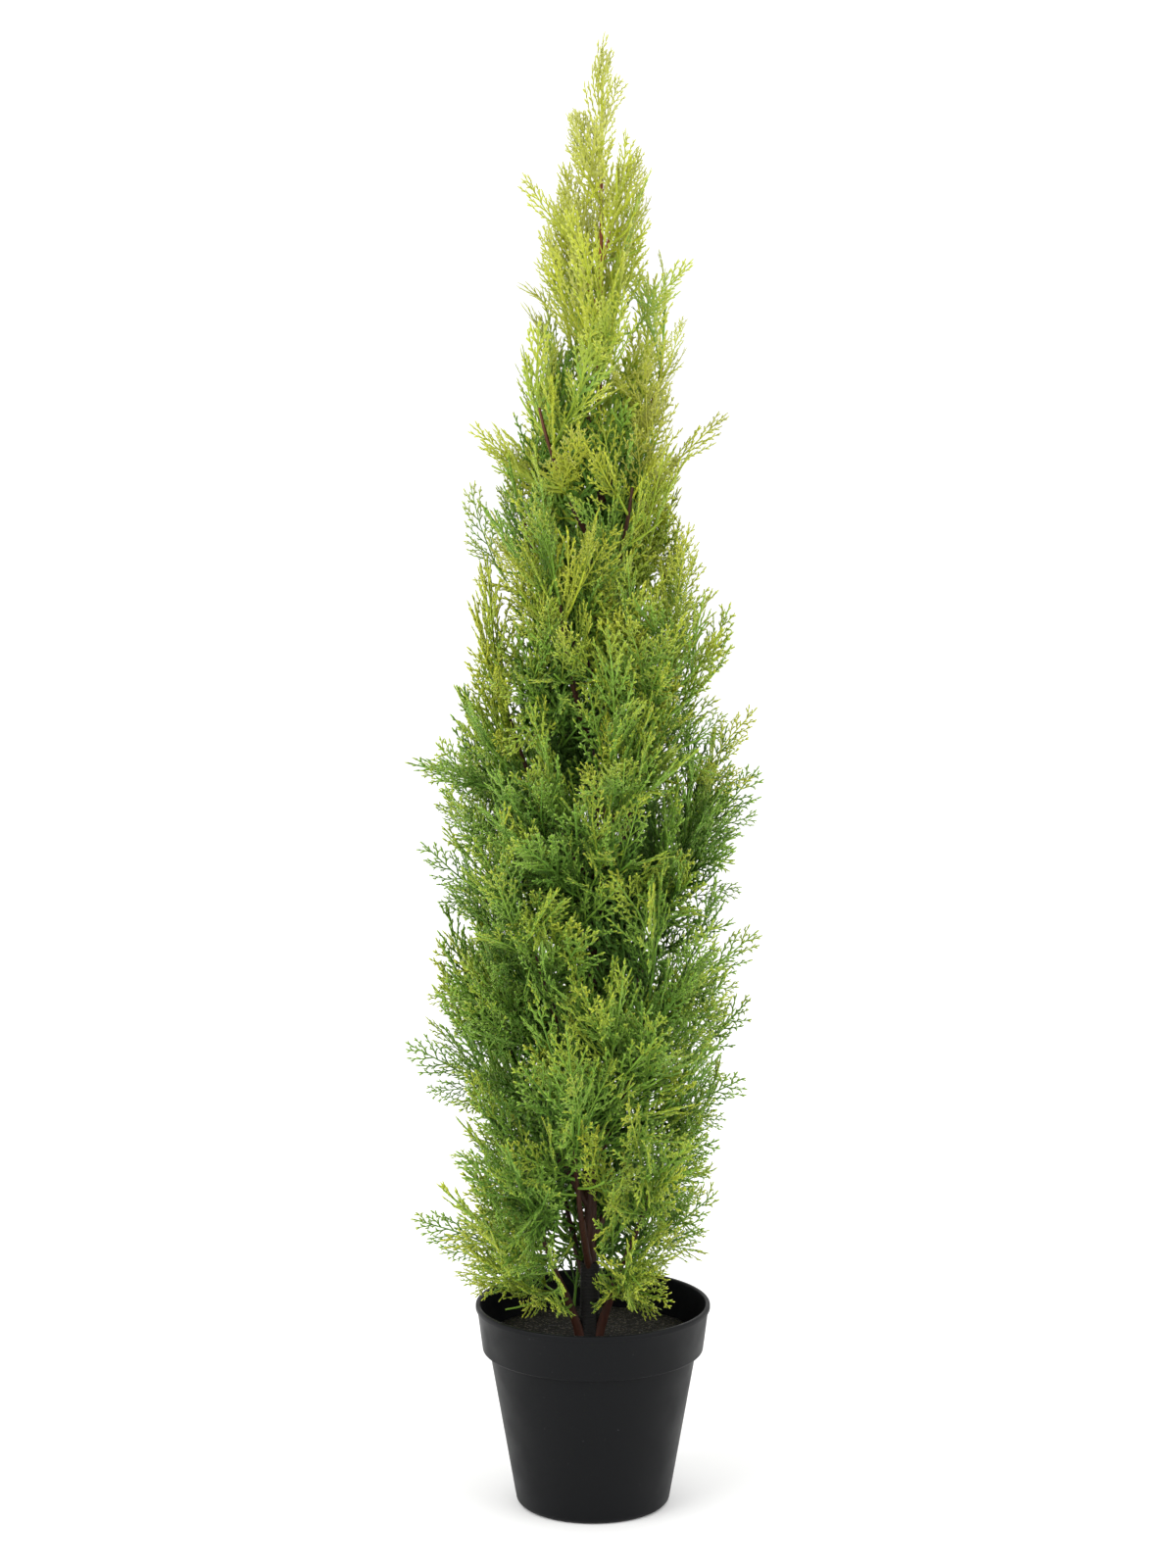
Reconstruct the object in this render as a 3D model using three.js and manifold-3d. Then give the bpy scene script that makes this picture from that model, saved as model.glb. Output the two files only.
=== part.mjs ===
// Artificial cypress in a nursery pot: a taped pole set in a block of filler, brown plastic boughs
// that rise steeply from it, and a slim column of moulded green sprays.
// Millimetres, +Z up. The origin is the centre of the pot's flat underside.
import * as THREE from "three";
import { mergeVertices } from "three/addons/utils/BufferGeometryUtils.js";
import Module from "manifold-3d";

const wasm = await Module();
wasm.setup();

// Driving dimensions
const HEIGHT = 1200; // floor to the tip of the leader
const GAP = 0.3; // clearance between touching pieces

// Pot: a moulded tub with a deep collar under its lip
const POT_HEIGHT = 171;
const LIP_RADIUS = 97;
const LIP_BEAD = 2.2; // radius of the rolled edge
const COLLAR_TOP_RADIUS = 95.6;
const COLLAR_FOOT_RADIUS = 93.2;
const COLLAR_HEIGHT = 40;
const SHOULDER_DROP = 10; // height over which the collar turns in to the body
const BODY_TOP_RADIUS = 86;
const BASE_RADIUS = 64.5;
const BASE_ROUND = 7; // rounding between wall and underside
const WALL = 2.4;
const POT_SIDES = 32;
const ROUND_STEPS = 3;

// Filler: the cast block that holds the pole
const FILLER_LEVEL = 140;
const FILLER_GAP = 0.8; // the block has shrunk a little from the wall

// Trunk: a pole that leans a little and thins to its tip
const TRUNK_FOOT_RADIUS = 8.3;
const TRUNK_TIP_RADIUS = 2;
const TRUNK_FOOT_X = -3;
const TRUNK_TIP_X = 7;
const TRUNK_BOW = 3; // how far its middle bends towards the back
const TRUNK_TOP = 1095;
const TRUNK_SIDES = 10;
const TRUNK_STEPS = 6;

// Crown: half-widths of the column at three heights
const CROWN_RADIUS = 124; // at the waist
const CROWN_WAIST = 500;
const CROWN_SKIRT = 190; // lowest foliage outside the pot
const SKIRT_SHARE = 0.84; // width at the skirt as a share of the waist
const CROWN_REACH = 1.14; // ordinary tips, as a share of the column's radius
const TIP_MARGIN = 9; // tips may stand this much further out
const STRAY_REACH = 1.3; // the few sprays that stand out of the outline
const STRAY_SHARE = 0.25;
const STRAY_LENGTH = 1.22; // against an ordinary spray

// Boughs: a rising spiral, closer together at the foot
const BOUGHS = 23;
const TOP_SHOOTS = 6; // masses that spring from the bare pole near its tip
const FIRST_FOOT = 147;
const FOOT_SPACING = 33.5; // at the waist, and wider where the column is slimmer
const CLOSE_FEET = 5; // the lowest boughs crowd together
const CLOSE_SHARE = 0.35;
const FIRST_TURN = THREE.MathUtils.degToRad(205);
const GOLDEN_TURN = THREE.MathUtils.degToRad(137.508);
const BOUGH_FOOT_TILT = THREE.MathUtils.degToRad(36); // from the vertical
const BOUGH_TIP_TILT = THREE.MathUtils.degToRad(27);
const STEM_TIP_TILT = THREE.MathUtils.degToRad(14);
const BOUGH_REACH = 0.34; // radius of a bough's tip as a share of the column's radius
const LOW_BOUGH_SHARE = 0.62; // the lowest boughs are shorter, and lengthen up to CLOSE_FEET
const BOUGH_FOOT_RADIUS = 3.4;
const BOUGH_TIP_RADIUS = 2.5;
const BOUGH_SIDES = 5;
const BOUGH_STEPS = 2;

// Foliage: each mass is one stem in a dense rough core, with flat sprays that stand out of it
const STEM_LENGTH = 84; // at the waist, and shorter where the column is slimmer
const LEAST_SIZE = 0.55; // of a mass, as a share of those at the waist
const LEADER_STEM = 46;
const LEADER_SIZE = 0.52;
const STEM_FOOT_RADIUS = 2.4;
const STEM_TIP_RADIUS = 1.4;
const CORE_START = 0.03; // along the stem
const CORE_LENGTH = 1.6; // against the stem
const CORE_TUFT = 0.46; // radius of its tufts as a share of the column's
const CORE_HOLLOW = 0.15; // radius between tufts, likewise
const CORE_ROUGH = 0.25;
const CORE_SIDES = 8;
const CORE_TIERS = 7;
const CORE_LIFT = 1.2; // how far a tuft leans up, in tiers
const CORE_REACH = 0.86; // of the column's radius
const SPRAYS = 6;
const SPRAY_LENGTH = 112;
const SPRAY_WIDE_TURN = THREE.MathUtils.degToRad(66); // from the stem, at its foot
const SPRAY_TIP_TURN = THREE.MathUtils.degToRad(26); // from the stem, near its tip
const SPRAY_FAN = THREE.MathUtils.degToRad(88); // either side of straight outwards
const SPRAY_TRIES = [1, 0.86, 0.74, 0.62]; // shares of the length that are tried in turn
const SKIRT_MASSES = 5; // lowest masses, whose first sprays hang out over the pot
const SKIRT_TURN = THREE.MathUtils.degToRad(30);
const SPRAY_TWIST = THREE.MathUtils.degToRad(70); // either way from facing outwards
const SPRAY_HALF_THICK = 1.4;
const NEEDLES = 6; // on alternate sides of a spray, besides its tip
const NEEDLE_LENGTH = 0.36; // the longest, as a share of the spray
const NEEDLE_TURN = THREE.MathUtils.degToRad(40);
const NOTCH = 0.034; // half-width between needles, as a share of the spray
const STALK = 0.28; // length before the first needle, as a share of the spray
const SUNK = 1.6; // how far a spray's root passes the middle of its stem
const SPACE_GAP = 0.4; // clearance of a mass to the edge of its own space
const LIMB_GAP = 0.5; // clearance of a spray to a limb
const SPACE_SQUEEZE = 0.42; // heights count this much when the crown is shared out
const SPACE_OUT = 12; // how far outside its stem the middle of a space lies
const SEED = 7023;

const { lerp } = THREE.MathUtils;

// Repeatable random numbers from 0 to 1
function seeded(seed) {
  let state = seed >>> 0;
  return () => {
    state = (state + 0x6d2b79f5) >>> 0;
    let word = Math.imul(state ^ (state >>> 15), 1 | state);
    word = (word + Math.imul(word ^ (word >>> 7), 61 | word)) ^ word;
    return ((word ^ (word >>> 14)) >>> 0) / 4294967296;
  };
}

// A closed geometry as a solid that can be joined and cut
function solidOf(geometry) {
  const bare = geometry.clone();
  bare.deleteAttribute("normal");
  bare.deleteAttribute("uv");
  const merged = mergeVertices(bare, 1e-4);
  return new wasm.Manifold(
    new wasm.Mesh({
      numProp: 3,
      vertProperties: merged.attributes.position.array,
      triVerts: new Uint32Array(merged.index.array),
    }),
  );
}

// A solid as a geometry, keeping only its largest body
function geometryOf(solid) {
  const bodies = solid.decompose();
  const main = bodies.reduce((a, b) => (b.volume() > a.volume() ? b : a));
  const mesh = main.getMesh();
  return new THREE.BufferGeometry()
    .setAttribute("position", new THREE.BufferAttribute(mesh.vertProperties, 3))
    .setIndex(new THREE.BufferAttribute(mesh.triVerts, 1));
}

// A profile of radius and height turned round the Z axis
function turned(profile, sides) {
  return new THREE.LatheGeometry(profile, sides).rotateX(Math.PI / 2);
}

// Half-width of the column of foliage at a height
function crownRadius(z) {
  if (z > CROWN_WAIST) {
    const rise = (z - CROWN_WAIST) / (HEIGHT - CROWN_WAIST);
    return CROWN_RADIUS * Math.max(0, 1 - rise * rise);
  }
  const drop = (CROWN_WAIST - z) / (CROWN_WAIST - CROWN_SKIRT);
  return CROWN_RADIUS * (1 - (1 - SKIRT_SHARE) * drop * drop);
}

// Points of a round between two directions about a centre
function arcPoints(x, y, radius, from, to, steps) {
  return Array.from({ length: steps + 1 }, (_, k) => {
    const angle = lerp(from, to, k / steps);
    return new THREE.Vector2(x + radius * Math.cos(angle), y + radius * Math.sin(angle));
  });
}

// Inner radius of the pot's wall at a height
function potInside(z) {
  const shoulder = POT_HEIGHT - COLLAR_HEIGHT;
  if (z > shoulder) {
    return lerp(COLLAR_FOOT_RADIUS, COLLAR_TOP_RADIUS, (z - shoulder) / COLLAR_HEIGHT) - WALL;
  }
  const bodyTop = shoulder - SHOULDER_DROP;
  const share = Math.min(1, z / bodyTop);
  const body = lerp(BASE_RADIUS, BODY_TOP_RADIUS, share);
  const flare = Math.max(0, (z - bodyTop) / SHOULDER_DROP);
  return lerp(body, COLLAR_FOOT_RADIUS, flare) - WALL;
}

function pot() {
  const shoulder = POT_HEIGHT - COLLAR_HEIGHT;
  const bodyTop = shoulder - SHOULDER_DROP;
  const beadHeight = POT_HEIGHT - LIP_BEAD;
  const profile = [
    new THREE.Vector2(0, 0),
    ...arcPoints(BASE_RADIUS - BASE_ROUND, BASE_ROUND, BASE_ROUND, -Math.PI / 2, 0, ROUND_STEPS),
    new THREE.Vector2(BODY_TOP_RADIUS, bodyTop),
    new THREE.Vector2(lerp(BODY_TOP_RADIUS, COLLAR_FOOT_RADIUS, 0.8), shoulder - SHOULDER_DROP * 0.55),
    new THREE.Vector2(COLLAR_FOOT_RADIUS, shoulder),
    new THREE.Vector2(COLLAR_TOP_RADIUS, beadHeight - LIP_BEAD),
    ...arcPoints(LIP_RADIUS - LIP_BEAD, beadHeight, LIP_BEAD, 0, Math.PI, ROUND_STEPS),
    new THREE.Vector2(potInside(shoulder), shoulder),
    new THREE.Vector2(potInside(bodyTop), bodyTop),
    new THREE.Vector2(potInside(BASE_ROUND), BASE_ROUND),
    new THREE.Vector2(BASE_RADIUS - BASE_ROUND, WALL),
    new THREE.Vector2(0, WALL),
  ];
  return turned(profile, POT_SIDES);
}

function filler() {
  const floor = WALL + GAP;
  const shoulder = POT_HEIGHT - COLLAR_HEIGHT;
  const bodyTop = shoulder - SHOULDER_DROP;
  const edges = [BASE_ROUND, bodyTop, shoulder, FILLER_LEVEL];
  const profile = [
    new THREE.Vector2(0, floor),
    new THREE.Vector2(BASE_RADIUS - BASE_ROUND - FILLER_GAP, floor),
    ...edges.map((z) => new THREE.Vector2(potInside(z) - FILLER_GAP, z)),
    new THREE.Vector2(0, FILLER_LEVEL),
  ];
  return turned(profile, POT_SIDES);
}

// A closed body whose rings follow a curve. Every second corner of a ring can stand out as a tuft.
function swept(curve, sides, steps, cornerAt) {
  const position = [];
  const index = [];
  const add = (point) => position.push(point.x, point.y, point.z);
  const frames = curve.computeFrenetFrames(steps, false);
  add(curve.getPoint(0));
  add(curve.getPoint(1));
  for (let ring = 0; ring <= steps; ring++) {
    for (let corner = 0; corner < sides; corner++) {
      const angle = (2 * Math.PI * corner) / sides;
      const out = frames.normals[ring].clone().multiplyScalar(Math.cos(angle));
      out.addScaledVector(frames.binormals[ring], Math.sin(angle));
      add(cornerAt(ring, corner, curve.getPointAt(ring / steps), out, frames.tangents[ring]));
    }
  }
  const id = (ring, corner) => 2 + ring * sides + (corner % sides);
  for (let corner = 0; corner < sides; corner++) {
    index.push(0, id(0, corner + 1), id(0, corner));
    index.push(1, id(steps, corner), id(steps, corner + 1));
    for (let ring = 0; ring < steps; ring++) {
      const [a, b] = [id(ring, corner), id(ring, corner + 1)];
      const [c, d] = [id(ring + 1, corner + 1), id(ring + 1, corner)];
      // The crease runs between the hollows, so that a tuft is a pyramid
      if ((ring + corner) % 2 === 0) index.push(a, b, d, b, c, d);
      else index.push(a, b, c, a, c, d);
    }
  }
  return new THREE.BufferGeometry()
    .setAttribute("position", new THREE.Float32BufferAttribute(position, 3))
    .setIndex(index);
}

// A limb that thins from its foot to its tip
function limb(curve, footRadius, tipRadius, sides, steps) {
  return swept(curve, sides, steps, (ring, corner, middle, out) =>
    middle.addScaledVector(out, lerp(footRadius, tipRadius, ring / steps)),
  );
}

const trunkFoot = FILLER_LEVEL + GAP;
const trunkLine = new THREE.QuadraticBezierCurve3(
  new THREE.Vector3(TRUNK_FOOT_X, 0, trunkFoot),
  new THREE.Vector3((TRUNK_FOOT_X + TRUNK_TIP_X) / 2, 2 * TRUNK_BOW, (trunkFoot + TRUNK_TOP) / 2),
  new THREE.Vector3(TRUNK_TIP_X, 0, TRUNK_TOP),
);

function trunk(extra) {
  return limb(trunkLine, TRUNK_FOOT_RADIUS + extra, TRUNK_TIP_RADIUS + extra, TRUNK_SIDES, TRUNK_STEPS);
}

// The trunk's middle at a height
function trunkAt(z) {
  return trunkLine.getPoint(THREE.MathUtils.clamp((z - trunkFoot) / (TRUNK_TOP - trunkFoot), 0, 1));
}

function direction(turn, tilt) {
  return new THREE.Vector3(
    Math.cos(turn) * Math.sin(tilt),
    Math.sin(turn) * Math.sin(tilt),
    Math.cos(tilt),
  );
}

// A curve that leaves a point one way and ends another way
function bentLine(start, from, to, length) {
  const bend = start.clone().addScaledVector(from, length / 2);
  return new THREE.QuadraticBezierCurve3(start, bend, bend.clone().addScaledVector(to, length / 2));
}

// Where each mass grows: its bough, if it has one, and its stem
function layOut() {
  const places = [];
  let footHeight = FIRST_FOOT;
  for (let i = 0; i < BOUGHS + TOP_SHOOTS; i++) {
    const turn = FIRST_TURN + i * GOLDEN_TURN;
    const foot = trunkAt(footHeight);
    const column = crownRadius(footHeight + STEM_LENGTH);
    const size = lerp(LEAST_SIZE, 1, column / CROWN_RADIUS);
    const leaving = direction(turn, BOUGH_FOOT_TILT);
    const rising = direction(turn, BOUGH_TIP_TILT);
    const ending = direction(turn, STEM_TIP_TILT);
    const place = { turn, size, column, rising, ending };
    if (i < BOUGHS) {
      const meanTilt = (BOUGH_FOOT_TILT + BOUGH_TIP_TILT) / 2;
      const short = lerp(LOW_BOUGH_SHARE, 1, Math.min(1, i / CLOSE_FEET));
      const length = (short * column * BOUGH_REACH) / Math.sin(meanTilt);
      place.bough = bentLine(foot, leaving, rising, length);
      place.stem = bentLine(
        place.bough.getPoint(1).addScaledVector(rising, GAP), rising, ending, STEM_LENGTH * size,
      );
    } else {
      place.stem = bentLine(foot, rising, ending, STEM_LENGTH * size);
    }
    places.push(place);
    const crowd = lerp(CLOSE_SHARE, 1, Math.min(1, i / CLOSE_FEET));
    footHeight += (FOOT_SPACING * crowd * CROWN_RADIUS) / lerp(CROWN_RADIUS, column, 0.25);
  }
  const top = trunkLine.getPoint(1).add(new THREE.Vector3(0, 0, GAP));
  const up = direction(0, 0);
  places.push({
    turn: 0, size: LEADER_SIZE, column: crownRadius(TRUNK_TOP), rising: up, ending: up, leader: true,
    stem: bentLine(top, up, up, LEADER_STEM),
  });
  return places;
}

// A flat spray along +X, face up: a blade toothed with needles on alternate sides, thickest along its rib
function spray(length, curl) {
  const position = [];
  const index = [];
  const vertex = (x, y, z) => {
    position.push(x, y, z + (curl * x * x) / length);
    return { x, id: position.length / 3 - 1 };
  };
  const step = (0.84 - STALK) / (NEEDLES + 1);
  const notchAt = (j) => {
    const side = j % 2 ? -1 : 1;
    return vertex(length * (STALK + j * step), side * length * NOTCH * (1 - 0.06 * j), 0);
  };
  const notches = Array.from({ length: NEEDLES + 2 }, (_, j) => notchAt(j));
  const tips = Array.from({ length: NEEDLES }, (_, j) => {
    const side = j % 2 ? -1 : 1;
    const reach = length * NEEDLE_LENGTH * (1 - 0.11 * j);
    const foot = lerp(notches[j].x, notches[j + 2].x, 0.3);
    return vertex(foot + reach * Math.cos(NEEDLE_TURN), side * reach * Math.sin(NEEDLE_TURN), 0);
  });
  const root = vertex(-SUNK - length * 0.03, 0, 0);
  const tip = vertex(length, 0, 0);
  const outline = { left: [root], right: [root] };
  for (let j = 0; j < NEEDLES; j++) outline[j % 2 ? "right" : "left"].push(notches[j], tips[j]);
  for (let j = NEEDLES; j < NEEDLES + 2; j++) outline[j % 2 ? "right" : "left"].push(notches[j], tip);
  for (const up of [1, -1]) {
    const near = vertex(length * 0.36, 0, up * SPRAY_HALF_THICK);
    const far = vertex(length * 0.64, 0, up * SPRAY_HALF_THICK * 0.7);
    const face = (flip, a, b, c) => {
      index.push(...(flip !== up < 0 ? [a.id, c.id, b.id] : [a.id, b.id, c.id]));
    };
    for (const [side, edge] of Object.entries(outline)) {
      const flip = side === "left";
      const half = edge.findIndex((point) => point.x > length * 0.5 && notches.includes(point));
      for (let i = 0; i + 1 < edge.length; i++) {
        face(flip, i < half ? near : far, edge[i], edge[i + 1]);
      }
      face(flip, near, edge[half], far);
    }
  }
  return new THREE.BufferGeometry()
    .setAttribute("position", new THREE.Float32BufferAttribute(position, 3))
    .setIndex(index);
}

// The middle of each mass's own space in the crown
function spaceMiddle(place) {
  const outward = direction(place.turn, Math.PI / 2);
  return place.stem.getPoint(0.62).addScaledVector(outward, place.leader ? 0 : SPACE_OUT * place.size);
}

// The plane that parts two masses: its normal towards the other one, and a point on it
function spaceEdge(middle, other) {
  const squeeze = new THREE.Vector3(1, 1, SPACE_SQUEEZE * SPACE_SQUEEZE);
  const normal = other.clone().sub(middle).multiply(squeeze).normalize();
  return [normal, other.clone().add(middle).multiplyScalar(0.5)];
}

// How far a point lies inside a mass's own space
function insideSpace(point, space) {
  let least = Infinity;
  for (const other of space.others) {
    const [normal, halfway] = spaceEdge(space.middle, other);
    least = Math.min(least, halfway.sub(point).dot(normal));
  }
  return least;
}

// Whether a point is clear of the pot and inside the crown's outline
function insideCrown(point, reach) {
  const middle = trunkAt(point.z);
  const radius = Math.hypot(point.x - middle.x, point.y - middle.y);
  if (point.z > HEIGHT + 0.01) return false;
  if (radius > reach * crownRadius(point.z) + TIP_MARGIN) return false;
  if (point.z > POT_HEIGHT + 3) return true;
  return point.z > FILLER_LEVEL + 8 && radius < potInside(point.z) - 8;
}

// Whether every corner of a piece keeps to the crown and to its own space
function fits(geometry, reach, space) {
  const points = geometry.attributes.position;
  const point = new THREE.Vector3();
  for (let i = 0; i < points.count; i++) {
    point.fromBufferAttribute(points, i);
    if (!insideCrown(point, reach)) return false;
    if (insideSpace(point, space) < SPACE_GAP) return false;
  }
  return true;
}

// A heading that leaves another one by an angle, turned round it from straight outwards
function branching(heading, outward, turn, fan) {
  const side = outward.clone().addScaledVector(heading, -outward.dot(heading)).normalize();
  side.applyAxisAngle(heading, fan);
  return heading.clone().multiplyScalar(Math.cos(turn)).addScaledVector(side, Math.sin(turn));
}

// The dense middle of a mass: tiers of pointed tufts round its stem, each drawn in until it finds room
function core(place, random, space, keepOut) {
  const length = STEM_LENGTH * place.size * CORE_LENGTH;
  const line = bentLine(place.stem.getPoint(CORE_START), place.rising, place.ending, length);
  const tuftAt = (ring, corner, middle, out, heading) => {
    const tuft = (ring + corner) % 2 === 0;
    const end = ring === 0 || ring === CORE_TIERS;
    const round = Math.sin(Math.PI * lerp(0.26, 0.84, ring / CORE_TIERS));
    const rough = lerp(1 - CORE_ROUGH, 1 + CORE_ROUGH, random());
    const reach = place.column * round * rough * (end || !tuft ? CORE_HOLLOW : CORE_TUFT);
    const lift = tuft && !end ? (length / CORE_TIERS) * CORE_LIFT : 0;
    const point = new THREE.Vector3();
    for (let share = 1; share > 0.05; share -= 0.1) {
      point.copy(middle).addScaledVector(out, reach * share).addScaledVector(heading, lift * share);
      if (insideCrown(point, CORE_REACH) && insideSpace(point, space) > SPACE_GAP) break;
    }
    return point;
  };
  return solidOf(swept(line, CORE_SIDES, CORE_TIERS, tuftAt)).subtract(keepOut);
}

// One mass of foliage: its stem, its core and the sprays that find room on it
function mass(place, order, space, keepOut) {
  const random = seeded(SEED + order);
  const outward = direction(place.turn, Math.PI / 2);
  const stem = limb(place.stem, STEM_FOOT_RADIUS * place.size, STEM_TIP_RADIUS * place.size, 3, 2);
  let solid = solidOf(stem).add(core(place, random, space, keepOut));
  for (let k = SPRAYS - 1; k >= 0; k--) {
    const last = k === SPRAYS - 1;
    const along = last ? 0.97 : lerp(0.1, 0.95, k / (SPRAYS - 1));
    const foot = place.stem.getPoint(along);
    const heading = place.stem.getTangent(along);
    const fan = SPRAY_FAN * (2 * ((k * 0.618 + random()) % 1) - 1);
    const skirt = order < SKIRT_MASSES ? SKIRT_TURN * (1 - along) : 0;
    const turn = lerp(SPRAY_WIDE_TURN, SPRAY_TIP_TURN, along) * (last ? 0.3 : 1) + skirt;
    const axis = place.leader && last ? heading : branching(heading, outward, turn, fan);
    const across = outward.clone().cross(axis).normalize();
    across.applyAxisAngle(axis, SPRAY_TWIST * (2 * random() - 1));
    const curl = lerp(-0.1, 0.2, random());
    const stray = random() < STRAY_SHARE;
    const reach = stray ? STRAY_REACH : CROWN_REACH;
    const usual = SPRAY_LENGTH * place.size * (stray ? STRAY_LENGTH : 1);
    const full = place.leader && last ? HEIGHT - foot.z : usual;
    const frame = new THREE.Matrix4()
      .makeBasis(axis, across, axis.clone().cross(across))
      .setPosition(foot);
    for (const share of SPRAY_TRIES) {
      const geometry = spray(full * share, curl).applyMatrix4(frame);
      if (!fits(geometry, reach, space)) continue;
      const leaf = solidOf(geometry);
      if (leaf.intersect(keepOut).volume() > 0) continue;
      if (leaf.intersect(solid).decompose().length > 1) continue;
      solid = solid.add(leaf);
      break;
    }
  }
  return solid;
}

const LIME = new THREE.Color("#c2cc4c"); // foliage at the top of the column
const GREEN = new THREE.Color("#6f9a3f"); // foliage at its foot

const cypress = new THREE.Group();

function addNode(name, geometry, color, roughness) {
  const material = new THREE.MeshStandardMaterial({ color, roughness, metalness: 0 });
  const mesh = new THREE.Mesh(geometry, material);
  mesh.name = name;
  cypress.add(mesh);
}

const twoDigits = (number) => String(number).padStart(2, "0");

const places = layOut();
const clearTrunk = solidOf(trunk(GAP));
const boughLimb = (place, extra) => {
  const tip = BOUGH_TIP_RADIUS * place.size + extra;
  return solidOf(limb(place.bough, BOUGH_FOOT_RADIUS + extra, tip, BOUGH_SIDES, BOUGH_STEPS));
};
const clearStem = (place) => {
  const [foot, tip] = [STEM_FOOT_RADIUS + LIMB_GAP, STEM_TIP_RADIUS + LIMB_GAP];
  return solidOf(limb(place.stem, foot, tip, BOUGH_SIDES, BOUGH_STEPS));
};

addNode("pot", pot(), "#26272a", 0.55);
addNode("filler", filler(), "#3d3b33", 0.95);
addNode("trunk", trunk(0), "#2b1d17", 0.7);

const boughPlaces = places.filter((place) => place.bough);
boughPlaces.forEach((place, i) => {
  const bough = boughLimb(place, 0).subtract(clearTrunk);
  addNode(`bough_${twoDigits(i + 1)}`, geometryOf(bough), "#42271c", 0.65);
});

const limbs = boughPlaces.reduce(
  (all, place) => all.add(boughLimb(place, LIMB_GAP)),
  solidOf(trunk(LIMB_GAP)),
);
const middles = places.map(spaceMiddle);
const clearStems = places.map(clearStem);
places.forEach((place, i) => {
  const space = { middle: middles[i], others: middles.filter((_, j) => j !== i) };
  const keepOut = clearStems.reduce((all, stem, j) => (j === i ? all : all.add(stem)), limbs);
  const solid = mass(place, i, space, keepOut).subtract(clearTrunk);
  const rise = THREE.MathUtils.smoothstep(middles[i].z, 0.55 * HEIGHT, 0.95 * HEIGHT);
  const name = place.leader ? "foliage_leader" : `foliage_${twoDigits(i + 1)}`;
  addNode(name, geometryOf(solid), GREEN.clone().lerp(LIME, rise), 0.6);
});

export default cypress;
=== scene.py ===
import math
import random

import bmesh
import bpy
import numpy as np
from mathutils import Matrix, Vector


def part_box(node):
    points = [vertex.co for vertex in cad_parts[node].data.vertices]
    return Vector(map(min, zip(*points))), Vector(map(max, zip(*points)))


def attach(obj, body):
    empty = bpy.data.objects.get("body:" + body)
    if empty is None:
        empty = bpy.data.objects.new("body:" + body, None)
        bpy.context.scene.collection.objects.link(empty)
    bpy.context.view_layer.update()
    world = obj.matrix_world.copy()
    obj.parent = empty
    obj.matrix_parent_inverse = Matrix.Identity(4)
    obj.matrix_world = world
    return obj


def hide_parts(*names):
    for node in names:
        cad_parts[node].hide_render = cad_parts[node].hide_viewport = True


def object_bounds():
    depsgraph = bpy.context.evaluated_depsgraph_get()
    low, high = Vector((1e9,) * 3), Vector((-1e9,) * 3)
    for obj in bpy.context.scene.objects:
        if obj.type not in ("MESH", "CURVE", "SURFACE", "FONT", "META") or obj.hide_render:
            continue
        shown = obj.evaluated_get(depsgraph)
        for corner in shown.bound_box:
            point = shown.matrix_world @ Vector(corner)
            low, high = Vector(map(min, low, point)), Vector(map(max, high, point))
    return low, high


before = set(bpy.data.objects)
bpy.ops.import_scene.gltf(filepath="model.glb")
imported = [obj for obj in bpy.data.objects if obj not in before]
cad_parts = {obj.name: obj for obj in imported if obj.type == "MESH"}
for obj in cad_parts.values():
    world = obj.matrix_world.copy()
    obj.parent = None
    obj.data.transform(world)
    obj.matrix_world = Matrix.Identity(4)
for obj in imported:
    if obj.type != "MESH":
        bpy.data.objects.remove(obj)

cad_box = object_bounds()

# Pot: a plain nursery tub, injection-moulded in one shot from black polypropylene.
# A deep collar stands out over a small rounded step, a rolled lip stiffens the mouth, and the body tapers
# so that tubs stack and leave the mould.
MM = 0.001
POT_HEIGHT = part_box("pot")[1].z
LIP_RADIUS = 97 * MM
LIP_DEPTH = 4.4 * MM
COLLAR_TOP_RADIUS = 95.6 * MM
COLLAR_FOOT_RADIUS = 91.4 * MM
COLLAR_HEIGHT = 38 * MM
SHOULDER_DROP = 2.4 * MM
BODY_TOP_RADIUS = 85.5 * MM
BASE_RADIUS = 63 * MM
POT_WALL = 2.4 * MM
POT_FLOOR = 3 * MM
POT_SIDES = 128
STEP_ANGLES = range(75, -1, -15)
BASE_ROUND = 5 * MM
LIP_ROOT_ROUND = 0.7 * MM
LIP_FOOT_ROUND = 0.6 * MM
LIP_TOP_ROUND = 1.6 * MM
MOUTH_ROUND = 1.4 * MM
MOULDED_SMOOTH = 35
NEAR = 0.05 * MM


def lerp(low, high, share):
    """A value part of the way from one to another."""
    return low + (high - low) * share


def start_disc(name, sides, radius, middle):
    """A filled disc in edit mode, all of it selected, that a turned piece is drawn out of."""
    bpy.ops.mesh.primitive_circle_add(vertices=sides, radius=radius, fill_type="NGON", location=middle)
    disc = bpy.context.object
    disc.name = name
    disc.data.name = name
    bpy.ops.object.transform_apply(location=True, rotation=True, scale=True)
    bpy.ops.object.mode_set(mode="EDIT")
    bpy.ops.mesh.select_mode(type="FACE")
    bpy.ops.mesh.select_all(action="SELECT")
    return disc


def draw_out(rings):
    """Extrudes the selected cap from ring to ring, each given by its middle and its radius."""
    for (middle, radius), (next_middle, next_radius) in zip(rings, rings[1:]):
        bpy.ops.mesh.extrude_region_move(TRANSFORM_OT_translate={"value": next_middle - middle})
        share = next_radius / radius
        bpy.ops.transform.resize(value=(share, share, share), center_override=next_middle)


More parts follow.
